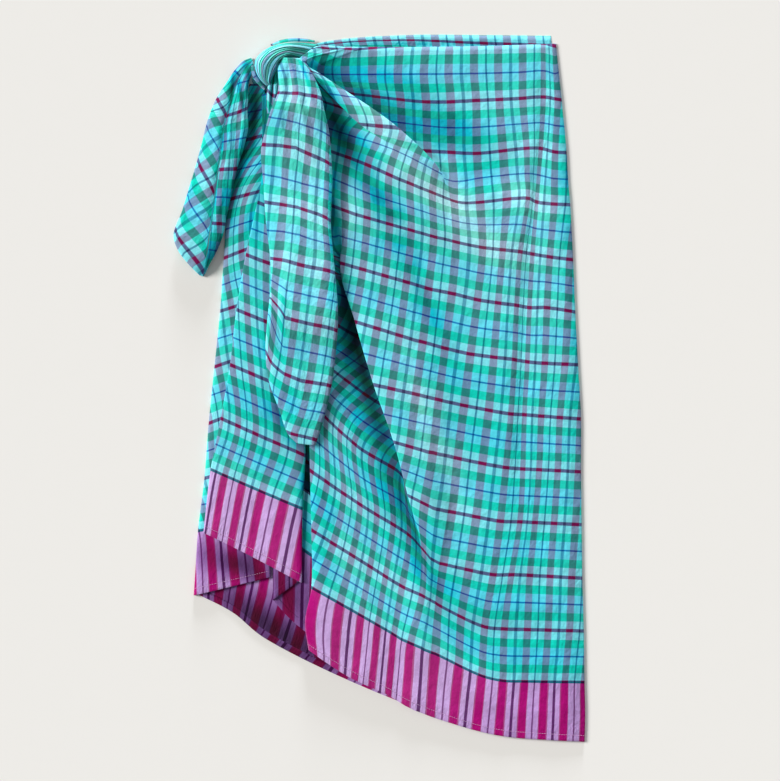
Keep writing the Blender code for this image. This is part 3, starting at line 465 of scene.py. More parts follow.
# Painted shade on the side wrap, under the free end and along its hem.
SIDE_PAINTED_SHADING = (
    (-172, 442, -166, 396, -188, 332, 14, 0.9),
    (-181, 356, -200, 310, -212, 236, 8, 0.8),
    (-156, 330, -164, 250, -190, 190, 12, 0.4),
    (-170, 436, -174, 384, -180, 336, 8, 0.4),
    (-192, -254, -166, -268, -138, -278, 14, 0.4),
    (-258, -180, -254, -250, -246, -296, 14, 0.2),
    (-262, -224, -196, -250, -140, -262, 24, 0.76),
    (-200, -240, -170, -225, -140, -215, 18, 0.6),
)
# Painted shade on the inside of the back at the hem and along its top edge.
BACK_PAINTED_SHADING = (
    (-256, -276, -180, -316, -80, -372, 36, 0.8),
    (-200, -296, -130, -362, -30, -420, 28, 0.74),
    (-100, 20, -100, -180, -104, -360, 14, 0.93),
    (-80, 482, 60, 485, 235, 484, 4.5, 0.6),
)
# Painted shade on the tucked fold.
TUCK_PAINTED_SHADING = ((-160, -240, -130, -290, -80, -340, 70, 0.76),)
# Painted highlights along the long tail and painted shade in its creases.
LONG_TAIL_PAINTED_SHADING = (
    (-126, 480, -112, 420, -104, 350, 20, -0.17),
    (-126, 400, -124, 240, -128, 90, 16, -0.11),
    (-140, 50, -132, 0, -112, -60, 12, 0.14),
    (-96, 380, -84, 220, -84, 60, 16, -0.17),
    (-134, 125, -136, 100, -134, 74, 3, 0.35),
    (-124, 462, -116, 436, -112, 400, 2, 0.35),
    (-114, 462, -100, 436, -92, 400, 2, 0.4),
    (-72, 330, -66, 240, -68, 120, 6, 0.3),
)
# Painted shade in the creases and under the folds of the short tail.
SHORT_TAIL_PAINTED_SHADING = (
    (-190, 462, -180, 440, -182, 420, 5, 0.7),
    (-203, 450, -206, 419, -211, 384, 3.4, 0.88),
    (-196, 430, -194, 409, -190, 386, 3.2, 0.88),
    (-212, 392, -217, 360, -221, 326, 5, 0.5),
    (-190, 360, -203, 300, -214, 240, 6, 0.42),
    (-224, 320, -229, 276, -236, 226, 4, 0.3),
    (-212, 300, -222, 240, -236, 184, 9, 0.35),
    (-225, 215, -232, 190, -248, 164, 9, 0.55),
    (-246, 350, -262, 290, -276, 224, 10, 0.12),
)


def srgb(red, green, blue):
    """Linear colour from the red, green and blue of a screen, 0 to 255."""
    share = np.array((red, green, blue)) / 255
    linear = np.where(share < 0.04045, share / 12.92, ((share + 0.055) / 1.055) ** 2.4)
    return (*(float(x) for x in linear), 1.0)


def down_the_cloth(row):
    """Distance from the waist to a numbered line; past the last repeat comes the border."""
    row = np.asarray(row, float)
    return np.where(row <= BORDER_ROW, row * REPEAT,
                    BORDER_ROW * REPEAT + (row - BORDER_ROW) * BORDER_DEPTH)


def smooth_through(points, pieces):
    """Curve through the points along the first axis, cut into pieces for each span.

    Each span is a cubic that leaves a point in the direction of its two neighbours, with the
    spans weighted by the square root of their length so that it doesn't overshoot.
    """
    points = np.asarray(points, float)
    length = np.linalg.norm(np.diff(points[..., :3], axis=0), axis=-1, keepdims=True)
    weight = np.sqrt(np.maximum(length, 1e-6))
    slope = np.diff(points, axis=0) / weight
    tangent = np.empty_like(points)
    tangent[0] = slope[0]
    tangent[-1] = slope[-1]
    both = weight[:-1] + weight[1:]
    tangent[1:-1] = (slope[:-1] * weight[1:] + slope[1:] * weight[:-1]) / both
    rows = []
    for span in range(len(points) - 1):
        step = np.arange(pieces[span]) / pieces[span]
        t = step.reshape((-1,) + (1,) * (points.ndim - 1))
        rows.append(points[span] * (2 * t**3 - 3 * t**2 + 1)
                    + points[span + 1] * (3 * t**2 - 2 * t**3)
                    + weight[span] * tangent[span] * (t**3 - 2 * t**2 + t)
                    + weight[span] * tangent[span + 1] * (t**3 - t**2))
    rows.append(points[-1:])
    return np.concatenate(rows)


def sheet_through(sections, down, across, straight=False):
    """Grid of points through sections[row, column], smooth both ways.

    Where straight is set, the check runs straight across from one column to the next.
    """
    lines = smooth_through(sections, down)
    grid = smooth_through(lines.swapaxes(0, 1), across).swapaxes(0, 1)
    if straight:
        edges = np.concatenate([[0], np.cumsum(across)])
        place = np.interp(np.arange(edges[-1] + 1), edges, np.arange(len(edges)))
        low = np.minimum(np.floor(place).astype(int), len(edges) - 2)
        beyond = (place - low)[:, None]
        grid[..., 3:] = lines[:, low, 3:] * (1 - beyond) + lines[:, low + 1, 3:] * beyond
    return grid


def places(table):
    """The (x, y) columns of a table of lines, as an array [row, column, 2]."""
    return np.array([row[1:] for row in table], float)


def laid(outline, heights, stripes, rows):
    """Points (x, y, height, across the cloth, down the cloth) from an outline [.., 2]."""
    shape = outline.shape[:-1]
    parts = [np.broadcast_to(x, shape)[..., None]
             for x in (heights, np.asarray(stripes, float) * STRIPE, rows)]
    return np.concatenate([outline, *parts], axis=-1)


def toward(start, end):
    """Step of one millimetre in plan from start to end, with no rise."""
    step = np.array(end - start)
    step[..., 2] = 0
    length = np.linalg.norm(step[..., :2], axis=-1, keepdims=True)
    return step / np.maximum(length, 1e-6)


def turned_back(edge, inner, reach, rise):
    """Points past an edge, where the cloth runs on inward above or below itself."""
    step = inner * reach
    step[..., 3:] *= -1
    step[..., 2] = np.broadcast_to(rise, edge.shape[:-1] + (1,))[..., 0]
    return edge + step


def turned_over(sections, column, radius):
    """Replace one column of a section by the three points of a round fold.

    The cloth arrives at radius above the fold's tip, passes it and leaves at radius below;
    with a minus radius it arrives below and leaves above.
    """
    before, tip, after = sections[:, column - 1], sections[:, column], sections[:, column + 1]
    size = np.asarray(radius, float)[:, None]
    rise = np.concatenate([0 * size, 0 * size, size, 0 * size, 0 * size], axis=1)
    arriving = tip + toward(tip, before) * np.abs(size) + rise
    leaving = tip + toward(tip, after) * np.abs(size) - rise
    flat = np.abs(size) < 0.1
    arriving = np.where(flat, tip + (before - tip) * 0.12, arriving)
    leaving = np.where(flat, tip + (after - tip) * 0.12, leaving)
    fold = np.stack([arriving, tip, leaving], axis=1)
    return np.concatenate([sections[:, :column], fold, sections[:, column + 1:]], axis=1)


def folded_edge(sections, last, radius, inward):
    """Roll the first or last column of a section under, with a flap inward below."""
    edge = sections[:, -1] if last else sections[:, 0]
    inner = toward(edge, sections[:, -2] if last else sections[:, 1])
    size = np.broadcast_to(np.asarray(radius, float), (len(edge),))[:, None]
    flap = np.broadcast_to(np.asarray(inward, float), (len(edge),))[:, None]
    bend = [edge + inner * size,
            turned_back(edge, inner, 0 * size, -size),
            turned_back(edge, inner, size, -2 * size)]
    if np.max(inward) > 0:
        bend.append(turned_back(edge, inner, size + flap, -2 * size))
    bend = np.stack(bend, axis=1)
    if last:
        return np.concatenate([sections[:, :-1], bend], axis=1)
    return np.concatenate([bend[:, ::-1], sections[:, 1:]], axis=1)


def hemmed(points, side):
    """Turn the last row of a grid under, or over where side is 1, by the depth of the hem.

    The turn is a half circle, and the flap behind it runs back parallel to the cloth.
    """
    edge = points[-1]
    inner = toward(edge, points[-2])
    turn = [edge + inner * HEM_TURN]
    for angle in np.radians((45, 90, 135, 180)):
        reach = HEM_TURN * (1 - np.sin(angle))
        turn.append(turned_back(edge, inner, reach, side * HEM_TURN * (1 - np.cos(angle))))
    for share in (0.3, 0.65, 1):
        turn.append(turned_back(edge, inner, HEM_TURN + HEM * share, side * 2 * HEM_TURN))
    return np.concatenate([points[:-1], np.stack(turn)])


def creased(points, table):
    """Raise or lower the cloth along curved lines.

    Each line is a curve through its start, bend and end. Across it the height dies off as a
    bell of the half width, and along it as a sine, so that it fades at both ends.
    """
    share = np.linspace(0, 1, 40)
    lift = np.zeros(points.shape[:-1])
    for x0, y0, x1, y1, x2, y2, width, height in table:
        start, bend, end = (np.array(p, float) for p in ((x0, y0), (x1, y1), (x2, y2)))
        line = (start * (1 - share[:, None]) ** 2 + bend * 2 * (share * (1 - share))[:, None]
                + end * share[:, None] ** 2)
        gap = ((points[..., None, :2] - line) ** 2).sum(axis=-1)
        fade = np.sin(np.pi * np.clip(share, 0.02, 0.98)) ** 0.7
        lift += height * (np.exp(-gap / width**2) * fade).max(axis=-1)
    raised = points.copy()
    raised[..., 2] += lift
    return raised


def shaded(points, table):
    """Painted shade at each point: bells of darkness along curved lines; below nothing, a highlight."""
    share = np.linspace(0, 1, 40)
    lit = np.ones(points.shape[:-1])
    for x0, y0, x1, y1, x2, y2, width, dark in table:
        start, bend, end = (np.array(p, float) for p in ((x0, y0), (x1, y1), (x2, y2)))
        line = (start * (1 - share[:, None]) ** 2 + bend * 2 * (share * (1 - share))[:, None]
                + end * share[:, None] ** 2)
        gap = ((points[..., None, :2] - line) ** 2).sum(axis=-1)
        fade = np.sin(np.pi * np.clip(share, 0.06, 0.94)) ** 0.5
        lit *= 1 - dark * (np.exp(-gap / width**2) * fade).max(axis=-1)
    return 1 - lit


def rippled(points, seed, depth, length):
    """Small uneven ripples: a sum of sines whose directions, lengths and phases are drawn."""
    draw = np.random.default_rng(seed)
    raised = points.copy()
    x, y = points[..., 0], points[..., 1]
    for step in range(10):
        angle = draw.uniform(0, np.pi)
        wave = length * draw.uniform(0.5, 1.7)
        sway = 0.9 * np.sin((x * np.sin(angle) - y * np.cos(angle)) / wave * 2.1 + step)
        phase = (x * np.cos(angle) + y * np.sin(angle)) * 2 * np.pi / wave + sway
        raised[..., 2] += depth * draw.uniform(0.3, 1) * np.sin(phase + draw.uniform(0, 6.28)) / 3
    return raised


class Ground:
    """Height map of the stretches laid so far, so that the next one lies on them."""
    CELL = 3.0
    HALF = (330.0, 540.0)

    def __init__(self):
        size = [int(2 * half / self.CELL) + 1 for half in self.HALF]
        self.top = np.zeros(size)

    def cells(self, points):
        """Row and column of the map under each point."""
        place = (points[..., :2] + self.HALF) / self.CELL
        return tuple(np.clip(np.round(place[..., i]).astype(int), 0, self.top.shape[i] - 1)
                     for i in (0, 1))

    def lay(self, points):
        """Add a grid of points, filled in between and raised by half a millimetre."""
        rows, columns = points.shape[:2]
        fine = np.stack([points[:-1] * (1 - t) + points[1:] * t for t in np.arange(4) / 4], 1)
        fine = fine.reshape(-1, columns, points.shape[-1])
        fine = np.stack([fine[:, :-1] * (1 - t) + fine[:, 1:] * t for t in np.arange(6) / 6], 2)
        fine = fine.reshape(-1, points.shape[-1])
        np.maximum.at(self.top, self.cells(fine), fine[:, 2] + 0.6)

    def height(self, points, reach):
        """Highest cloth within reach of each point."""
        around = int(np.ceil(reach / self.CELL))
        row, column = self.cells(points)
        highest = np.zeros(row.shape)
        for i in range(-around, around + 1):
            for j in range(-around, around + 1):
                near_row = np.clip(row + i, 0, self.top.shape[0] - 1)
                near_column = np.clip(column + j, 0, self.top.shape[1] - 1)
                highest = np.maximum(highest, self.top[near_row, near_column])
        return highest


class Number:
    """A number in a material: wraps a socket, so that sums and products are plain Python."""

    def __init__(self, paint, socket):
        self.paint, self.socket = paint, socket

    def maths(self, operation, *others):
        values = {i: x for i, x in enumerate((self, *others))}
        return self.paint.number("ShaderNodeMath", {"operation": operation}, values)

    def __add__(self, other):
        return self.maths("ADD", other)

    def __sub__(self, other):
        return self.maths("SUBTRACT", other)

    def __mul__(self, other):
        return self.maths("MULTIPLY", other)

    def __truediv__(self, other):
        return self.maths("DIVIDE", other)

    def __rsub__(self, other):
        return self.paint.number("ShaderNodeMath", {"operation": "SUBTRACT"}, {0: other, 1: self})

    __radd__ = __add__
    __rmul__ = __mul__

    def part(self):
        return self.maths("FRACT")

    def sine(self):
        return self.maths("SINE")

    def over(self, edge):
        return self.maths("GREATER_THAN", edge)

    def size(self):
        return self.maths("ABSOLUTE")

    def band(self, low, high, soft):
        """One between low and high, falling to nothing over soft on either side."""
        steps = {"interpolation_type": "SMOOTHSTEP"}
        rise = self.paint.number("ShaderNodeMapRange", steps, {0: self, 1: low - soft, 2: low + soft})
        fall = self.paint.number("ShaderNodeMapRange", steps, {0: self, 1: high - soft, 2: high + soft})
        return rise * (1 - fall)


class Paint:
    """A material under construction."""

    def __init__(self, name):
        self.material = bpy.data.materials.new(name)
        self.material.use_nodes = True
        self.tree = self.material.node_tree
        self.shader = self.tree.nodes["Principled BSDF"]

    def node(self, kind, settings=None, values=None):
        """Add a node: its settings first, then the values or links of its sockets."""
        made = self.tree.nodes.new(kind)
        for name, value in (settings or {}).items():
            if name == "stops":
                while len(made.color_ramp.elements) < len(value):
                    made.color_ramp.elements.new(0.5)
                for element, (place, colour) in zip(made.color_ramp.elements, value):
                    element.position = place
                    element.color = colour
            else:
                setattr(made, name, value)
        for key, value in (values or {}).items():
            self.feed(made.inputs[key], value)
        return made

    def feed(self, target, value):
        if isinstance(value, Number):
            value = value.socket
        if isinstance(value, bpy.types.NodeSocket):
            self.tree.links.new(value, target)
        else:
            target.default_value = value

    def number(self, kind, settings=None, values=None, output=0):
        return Number(self, self.node(kind, settings, values).outputs[output])

    def mix(self, share, first, second):
        """Colour between first and second."""
        return self.node("ShaderNodeMix", {"data_type": "RGBA"},
                         {0: share, 6: first, 7: second}).outputs[2]

    def noise(self, place, scale, detail=2.0, rough=0.5):
        return self.number("ShaderNodeTexNoise", {}, {"Vector": place, "Scale": scale,
                                                      "Detail": detail, "Roughness": rough})

    def spot(self, x, y, z=0.0):
        return self.node("ShaderNodeCombineXYZ", {}, {0: x, 1: y, 2: z}).outputs[0]


def bands(table, soft):
    """Stops of a ramp from bands (end, colour), each changing into the next over soft."""
    stops = [(0.0, table[0][1])]
    for (end, colour), (_, following) in zip(table, table[1:]):
        stops += [(end - soft, colour), (end + soft, following)]
    return stops + [(1.0, table[-1][1])]


PLAIN, FIRST, SECOND, THIRD = (0, 0, 0, 1), (1, 0, 0, 1), (0, 1, 0, 1), (0, 0, 1, 1)
THIN_NAVY, SOFT_NAVY = (0, 0.85, 0, 1), (0, 0.72, 0, 1)
# Warp over two stripes: plum, pale, broad navy, pale, plum, pale, thin navy, pale, plum.
WARP_BANDS = ((0.078, FIRST), (0.216, PLAIN), (0.284, SOFT_NAVY), (0.422, PLAIN), (0.589, FIRST),
              (0.730, PLAIN), (0.769, THIN_NAVY), (0.911, PLAIN), (1.0, FIRST))
# The same in the border, where the magenta runs wider.
BORDER_BANDS = ((0.108, FIRST), (0.218, PLAIN), (0.282, SECOND), (0.39, PLAIN), (0.612, FIRST),
                (0.732, PLAIN), (0.768, THIN_NAVY), (0.896, PLAIN), (1.0, FIRST))
# Weft over one repeat: maroon line, aqua, green, aqua, blue line, aqua, green, aqua, maroon.
WEFT_BANDS = ((0.034, SECOND), (0.1795, PLAIN), (0.3374, FIRST), (0.4878, PLAIN),
              (0.5179, THIRD), (0.668, PLAIN), (0.826, FIRST), (0.966, PLAIN), (1.0, SECOND))

# Colour where a weft crosses the pale, plum and navy warps, and the colour of its yarn.
CROSSINGS = {
    "aqua": (srgb(128, 224, 235), srgb(128, 144, 178), srgb(8, 96, 144), srgb(150, 238, 244)),
    "sky": (srgb(98, 213, 232), srgb(114, 140, 176), srgb(4, 90, 146), srgb(112, 224, 244)),
    "green": (srgb(36, 206, 184), srgb(42, 122, 120), srgb(0, 98, 116), srgb(24, 208, 178)),
    "maroon": (srgb(84, 72, 128), srgb(120, 0, 70), srgb(22, 0, 56), srgb(96, 0, 68)),
    "blue": (srgb(14, 108, 182), srgb(40, 66, 136), srgb(4, 40, 112), srgb(6, 78, 162)),
    "line": (srgb(24, 84, 112), srgb(54, 0, 54), srgb(22, 0, 62), srgb(14, 28, 70)),
    "border": (srgb(206, 160, 220), srgb(172, 6, 108), srgb(72, 0, 80), srgb(200, 86, 172)),
}
WARP_YARNS = (srgb(88, 218, 226), srgb(92, 44, 98), srgb(8, 50, 104))


def cotton(name, gather=0.0):
    """Checked cotton: crossed warp and weft, weave, slubs, hem, small creases and painted shade."""
    paint = Paint(name)
    place = paint.node("ShaderNodeUVMap", {"uv_map": "cloth"}).outputs[0]
    apart = paint.node("ShaderNodeSeparateXYZ", {}, {0: place})
    across, down = (Number(paint, apart.outputs[i]) for i in (0, 1))
    wander = paint.noise(paint.spot(across * 60, down * 60), 1.0, 2.0) - 0.5
    warp_place = (across / (2 * STRIPE * MM) + wander * 0.011).part()
    weft_place = (down / (REPEAT * MM) + wander * 0.011).part()
    warp = paint.node("ShaderNodeValToRGB", {"stops": bands(WARP_BANDS, 0.007)}, {0: warp_place})
    weft = paint.node("ShaderNodeValToRGB", {"stops": bands(WEFT_BANDS, 0.006)}, {0: weft_place})
    warp = paint.node("ShaderNodeSeparateColor", {}, {0: warp.outputs[0]})
    weft = paint.node("ShaderNodeSeparateColor", {}, {0: weft.outputs[0]})
    edging = paint.node("ShaderNodeValToRGB", {"stops": bands(BORDER_BANDS, 0.005)}, {0: warp_place})
    edging = paint.node("ShaderNodeSeparateColor", {}, {0: edging.outputs[0]})
    plum, navy, magenta, purple = (Number(paint, part.outputs[i]) for part in (warp, edging)
                                   for i in (0, 1))
    green, maroon, blue = (Number(paint, weft.outputs[i]) for i in (0, 1, 2))
    sky = (weft_place - 0.5).size().band(-1.0, 0.18, 0.02)
    edge = BORDER_ROW * REPEAT * MM
    in_border = down.over(edge)
    line = down.band(edge - 0.0015, edge + 0.0015, 0.0003)
    crossing, yarn = None, None
    for share, weft_name in ((None, "aqua"), (sky, "sky"), (green, "green"), (maroon, "maroon"),
                             (blue, "blue"), (in_border, "border"), (line, "line")):
        pale, on_plum, on_navy, thread = CROSSINGS[weft_name]
        wide, thin = (magenta, purple) if weft_name == "border" else (plum, navy)
        colour = paint.mix(thin, paint.mix(wide, pale, on_plum), on_navy)
        crossing = colour if share is None else paint.mix(share, crossing, colour)
        yarn = thread if share is None else paint.mix(share, yarn, thread)
    warp_yarn = paint.mix(navy, paint.mix(plum, WARP_YARNS[0], WARP_YARNS[1]), WARP_YARNS[2])
    pitch = 0.00062
    ends = (across * (np.pi / pitch)).sine()
    picks = (down * (np.pi / pitch)).sine()
    over = ends * picks
    warp_up = over.maths("MULTIPLY_ADD", 0.5, 0.5)
    fleck = paint.noise(paint.spot(across * 2600, down * 2600), 1.0, 1.0)
    colour = paint.mix(warp_up * 0.30 * fleck * 1.6, crossing, warp_yarn)
    colour = paint.mix((1 - warp_up) * 0.26 * fleck * 1.6, colour, yarn)
    slub_down = paint.noise(paint.spot(across * 1500, down * 38), 1.0, 2.0)
    slub_across = paint.noise(paint.spot(across * 38, down * 1500), 1.0, 2.0)
    slub = (slub_down + slub_across) * 0.5
    wash = paint.noise(paint.spot(across * 22, down * 22), 1.0, 3.0)
    tone = 1.0 + (slub - 0.5) * 0.34 + (wash - 0.5) * 0.16
    stitch_row = (CLOTH_LENGTH - HEM) * MM
    seam = down.band(stitch_row - 0.0006, stitch_row + 0.0006, 0.0004)
    # A little painted shade along the stitched groove of the hem.
    tone = tone * (1 - seam * 0.08)
    # Painted shade from the attribute depth: darker and more saturated; below nothing it is a painted
    # highlight, paler and greyer.
    depth = paint.number("ShaderNodeAttribute", {"attribute_name": "depth"}, {}, 2)
    tone = tone * (1 - depth)
    even = paint.number("ShaderNodeVectorMath", {"operation": "DOT_PRODUCT"},
                        {0: colour, 1: (1 / 3, 1 / 3, 1 / 3)}, 1)
    even = paint.node("ShaderNodeCombineColor", {}, {0: even, 1: even, 2: even}).outputs[0]
    colour = paint.node("ShaderNodeMix", {"data_type": "RGBA", "clamp_factor": False,
                                          "clamp_result": True},
                        {0: depth * -1.0, 6: colour, 7: even}).outputs[2]
    grey = paint.node("ShaderNodeCombineColor", {}, {0: tone, 1: tone, 2: tone}).outputs[0]
    shade = paint.node("ShaderNodeVectorMath", {"operation": "MULTIPLY"}, {0: colour, 1: grey})
    paint.feed(paint.shader.inputs["Base Color"], shade.outputs[0])
    paint.feed(paint.shader.inputs["Roughness"], 0.78 + (slub - 0.5) * 0.2)
    paint.shader.inputs["Specular IOR Level"].default_value = 0.12
    paint.shader.inputs["Sheen Weight"].default_value = 0.02
    paint.shader.inputs["Sheen Roughness"].default_value = 0.5
    crinkle = paint.noise(paint.spot(across * 120, down * 90), 1.0, 3.0, 0.55)
    pucker = paint.noise(paint.spot(across * 420, down * 160), 1.0, 2.0)
    near_hem = down.band(stitch_row - 0.012, 2.0, 0.008)
    hem_step = down.band(stitch_row, 2.0, 0.0006)
    slack = paint.noise(paint.spot(across * 34, down * 26), 1.0, 1.0)
    height = (crinkle * (1.5 + gather) + slack * 2.6 + (slub - 0.5) * 0.12 + over * 0.035
              + pucker * near_hem * 0.8 + hem_step * 0.45 - seam * 0.3)
    bump = paint.node("ShaderNodeBump", {}, {"Height": height, "Distance": MM, "Strength": 0.9})
    paint.feed(paint.shader.inputs["Normal"], bump.outputs[0])
    return paint.material


def add_piece(name, mesh, material):
    """Put a finished mesh in the scene, riding on the garment."""
    piece = bpy.data.objects.new(name, mesh)
    bpy.context.scene.collection.objects.link(piece)
    mesh.materials.append(material)
    mesh.shade_smooth()
    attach(piece, "root")
    return piece


def cloth(name, points, material, offset=0.0, thickness=CLOTH, dark=None):
    """A stretch of cloth from a grid (x, y, height, across, down), given its thickness.

    dark is the painted shade that each point of the first rows of the grid gets; below nothing, a
    painted highlight.
    """
    rows, columns = points.shape[:2]
    mesh = bpy.data.meshes.new(name)
    corner = np.arange(rows * columns).reshape(rows, columns)
    faces = np.stack([corner[:-1, :-1], corner[1:, :-1], corner[1:, 1:], corner[:-1, 1:]], -1)
    placed = (points[..., :3] - (*ORIGIN, 0)) * MM
    placed[..., 2] = np.maximum(placed[..., 2], thickness * (1 - offset) / 2 * MM)
    mesh.from_pydata(placed.reshape(-1, 3).tolist(), [], faces.reshape(-1, 4).tolist())
    chart = mesh.uv_layers.new(name="cloth")
    spots = points[..., 3:].reshape(-1, 2)[faces.reshape(-1)] * MM
    chart.data.foreach_set("uv", spots.astype(np.float32).reshape(-1))
    # Painted shade and painted highlights, kept in the attribute depth for the material.
    depth = np.zeros((rows, columns), np.float32)
    if dark is not None:
        depth[:len(dark)] = dark[:rows]
        depth[len(dark):] = dark[-1]
    mesh.attributes.new("depth", "FLOAT", "POINT").data.foreach_set("value", depth.reshape(-1))
    piece = add_piece(name, mesh, material)
    wall = piece.modifiers.new("thickness", "SOLIDIFY")
    wall.thickness = thickness * MM
    wall.offset = offset
    wall.use_quality_normals = True
    return piece


def front_cloth(material, ground):
    """The front panel, its folds turned over and the painted shade of its stretches joined where they
    meet.
    """
    heights = np.array([row[1:] for row in FRONT_HEIGHTS], float)
    heights += RIDGE_LIFT * np.maximum(heights - 7, 0)
    stripes = np.array([row[1:] for row in FRONT_STRIPES])
    rows = down_the_cloth([row[0] for row in FRONT_LINES])[:, None]
    sections = laid(places(FRONT_LINES), heights, stripes, rows)
    sections[0, :, 4] += np.array(WAIST_TURN) * REPEAT
    for place, name in reversed(list(enumerate(FRONT_FOLDS))):
        radius = [row[1 + place] for row in FRONT_FOLD_RADII]
        sections = turned_over(sections, FRONT_COLUMNS.index(name), radius)
    sections = folded_edge(sections, True, ROLLED_EDGE_RADIUS, ROLLED_EDGE_FLAP)
    sections = folded_edge(sections, False, (heights[:, 0] - FLOOR_LEVEL) / 2, SIDE_FOLD_FLAP)
    points = sheet_through(sections, FRONT_PIECES_DOWN, FRONT_PIECES_ACROSS)
    side = points[:, 0].copy()
    shaped = rippled(creased(points, FRONT_CREASES), 3, 0.42, 60)
    edge_ease = np.clip((points[:, :1, 0] - points[..., 0]) / 25, 0, 1)
    points[..., 2] += (shaped[..., 2] - points[..., 2]) * edge_ease
    ground.lay(points)
    # Painted shade and painted highlights of the waist, belly and seat stretches.
    waist, belly, seat = (shaded(points, [row[1:] for row in FRONT_PAINTED_SHADING if row[0] == name])
                          for name in ("waist", "belly", "seat"))
    place = np.cumsum(FRONT_PIECES_ACROSS)
    column = np.arange(points.shape[1])
    on_waist, on_seat = column < place[12], column > place[17]
    repeat = points[..., 4] / REPEAT
    past_ridge, before_fold = np.clip(repeat - 2.1, 0, 1), 1 - np.clip(repeat - 4.1, 0, 1)
    waist = waist * np.where(on_waist, 1, past_ridge * np.where(on_seat, before_fold, 1))
    belly = belly * np.where(on_waist, past_ridge, np.where(on_seat, before_fold, 1))
    dark = 1 - (1 - waist) * (1 - belly) * (1 - seat * on_seat)
    piece = cloth("front_cloth", hemmed(points, -1), material, dark=dark)
    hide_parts("front_panel")
    return piece, points, side


def side_cloth(material, ground):
    """The stretch that comes round the left side."""
    rows = down_the_cloth([row[0] for row in SIDE_LINES])[:, None]
    stripes = np.array([row[1:] for row in SIDE_STRIPES])
    sections = laid(places(SIDE_LINES), SIDE_HEIGHT, stripes, rows)
    sections = folded_edge(sections, False, (SIDE_HEIGHT - FLOOR_LEVEL) / 2, SIDE_FOLD_FLAP)
    points = sheet_through(sections, SIDE_PIECES_DOWN, (2, 4, 4, 9, 14))
    side = points[:, 0].copy()
    shaped = rippled(creased(points, SIDE_CREASES), 8, 0.3, 40)
    ease = np.clip((points[..., 0] - side[:, None, 0]) / 12, 0, 1)
    points[..., 2] += (shaped[..., 2] - points[..., 2]) * ease
    ground.lay(points)
    piece = cloth("side_cloth", hemmed(points, -1), material, dark=shaded(points, SIDE_PAINTED_SHADING))
    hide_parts("side_wrap")
    return piece, points, side


def left_cloth(material, ground):
    """The free end of the cloth below the knot."""
    rows = down_the_cloth([row[0] for row in LEFT_LINES])[:, None]
    stripes = np.array([row[1:] for row in LEFT_STRIPES])
    sections = laid(places(LEFT_LINES), np.array(LEFT_HEIGHTS), stripes, rows)
    sections = folded_edge(sections, True, LEFT_FOLD_RADIUS, LEFT_FOLD_FLAP)
    sections = folded_edge(sections, False, HEM_TURN, 4.5)
    points = sheet_through(sections, LEFT_PIECES_DOWN, (3, 2, 2, 16, 18, 4, 4, 2))
    end = points[:, -1].copy()
    shaped = rippled(creased(points, LEFT_CREASES), 5, 0.35, 48)
    ease = np.clip((end[:, None, 0] - points[..., 0] + 4) / 16, 0, 1)
    points[..., 2] += (shaped[..., 2] - points[..., 2]) * ease
    ground.lay(points)
    piece = cloth("left_cloth", hemmed(points, -1), material, dark=shaded(points, LEFT_PAINTED_SHADING))
    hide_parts("front_left_panel")
    return piece, points, end


def tuck_cloth(material, end):
    """The stretch between the two front panels, which starts at the free end's edge."""
    rows = [row[0] for row in LEFT_LINES]
    first = sum(LEFT_PIECES_DOWN[:rows.index(TUCK_LINES[0][0])])
    along = end[first:][[0, 14, 34]]
    start = along + np.array((-0.3, 0, 0, 0, 0))
    outline = places(TUCK_LINES)
    above = start[:, 2:3]
    radius = (above[:, 0] - TUCK_BELOW) / 2
    heights = np.concatenate([above, above - radius[:, None], above * 0 + TUCK_BELOW,
                              above * 0 + TUCK_BELOW], axis=1)
    lines = down_the_cloth([row[0] for row in TUCK_LINES])[:, None]
    body = laid(outline, heights, np.array(TUCK_STRIPES[1:])[None], lines)
    start[:, 3] = TUCK_STRIPES[0] * STRIPE
    start[:, 4] = lines[:, 0]
    sections = np.concatenate([start[:, None], body], axis=1)
    sections = turned_over(sections, 2, radius)
    points = sheet_through(sections, [14, 20], (6, 6, 4, 4, 6, 8))
    piece = cloth("tucked_cloth", hemmed(points, -1), material,
                  dark=shaded(points, TUCK_PAINTED_SHADING))
    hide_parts("tucked_fold")
    return piece, points


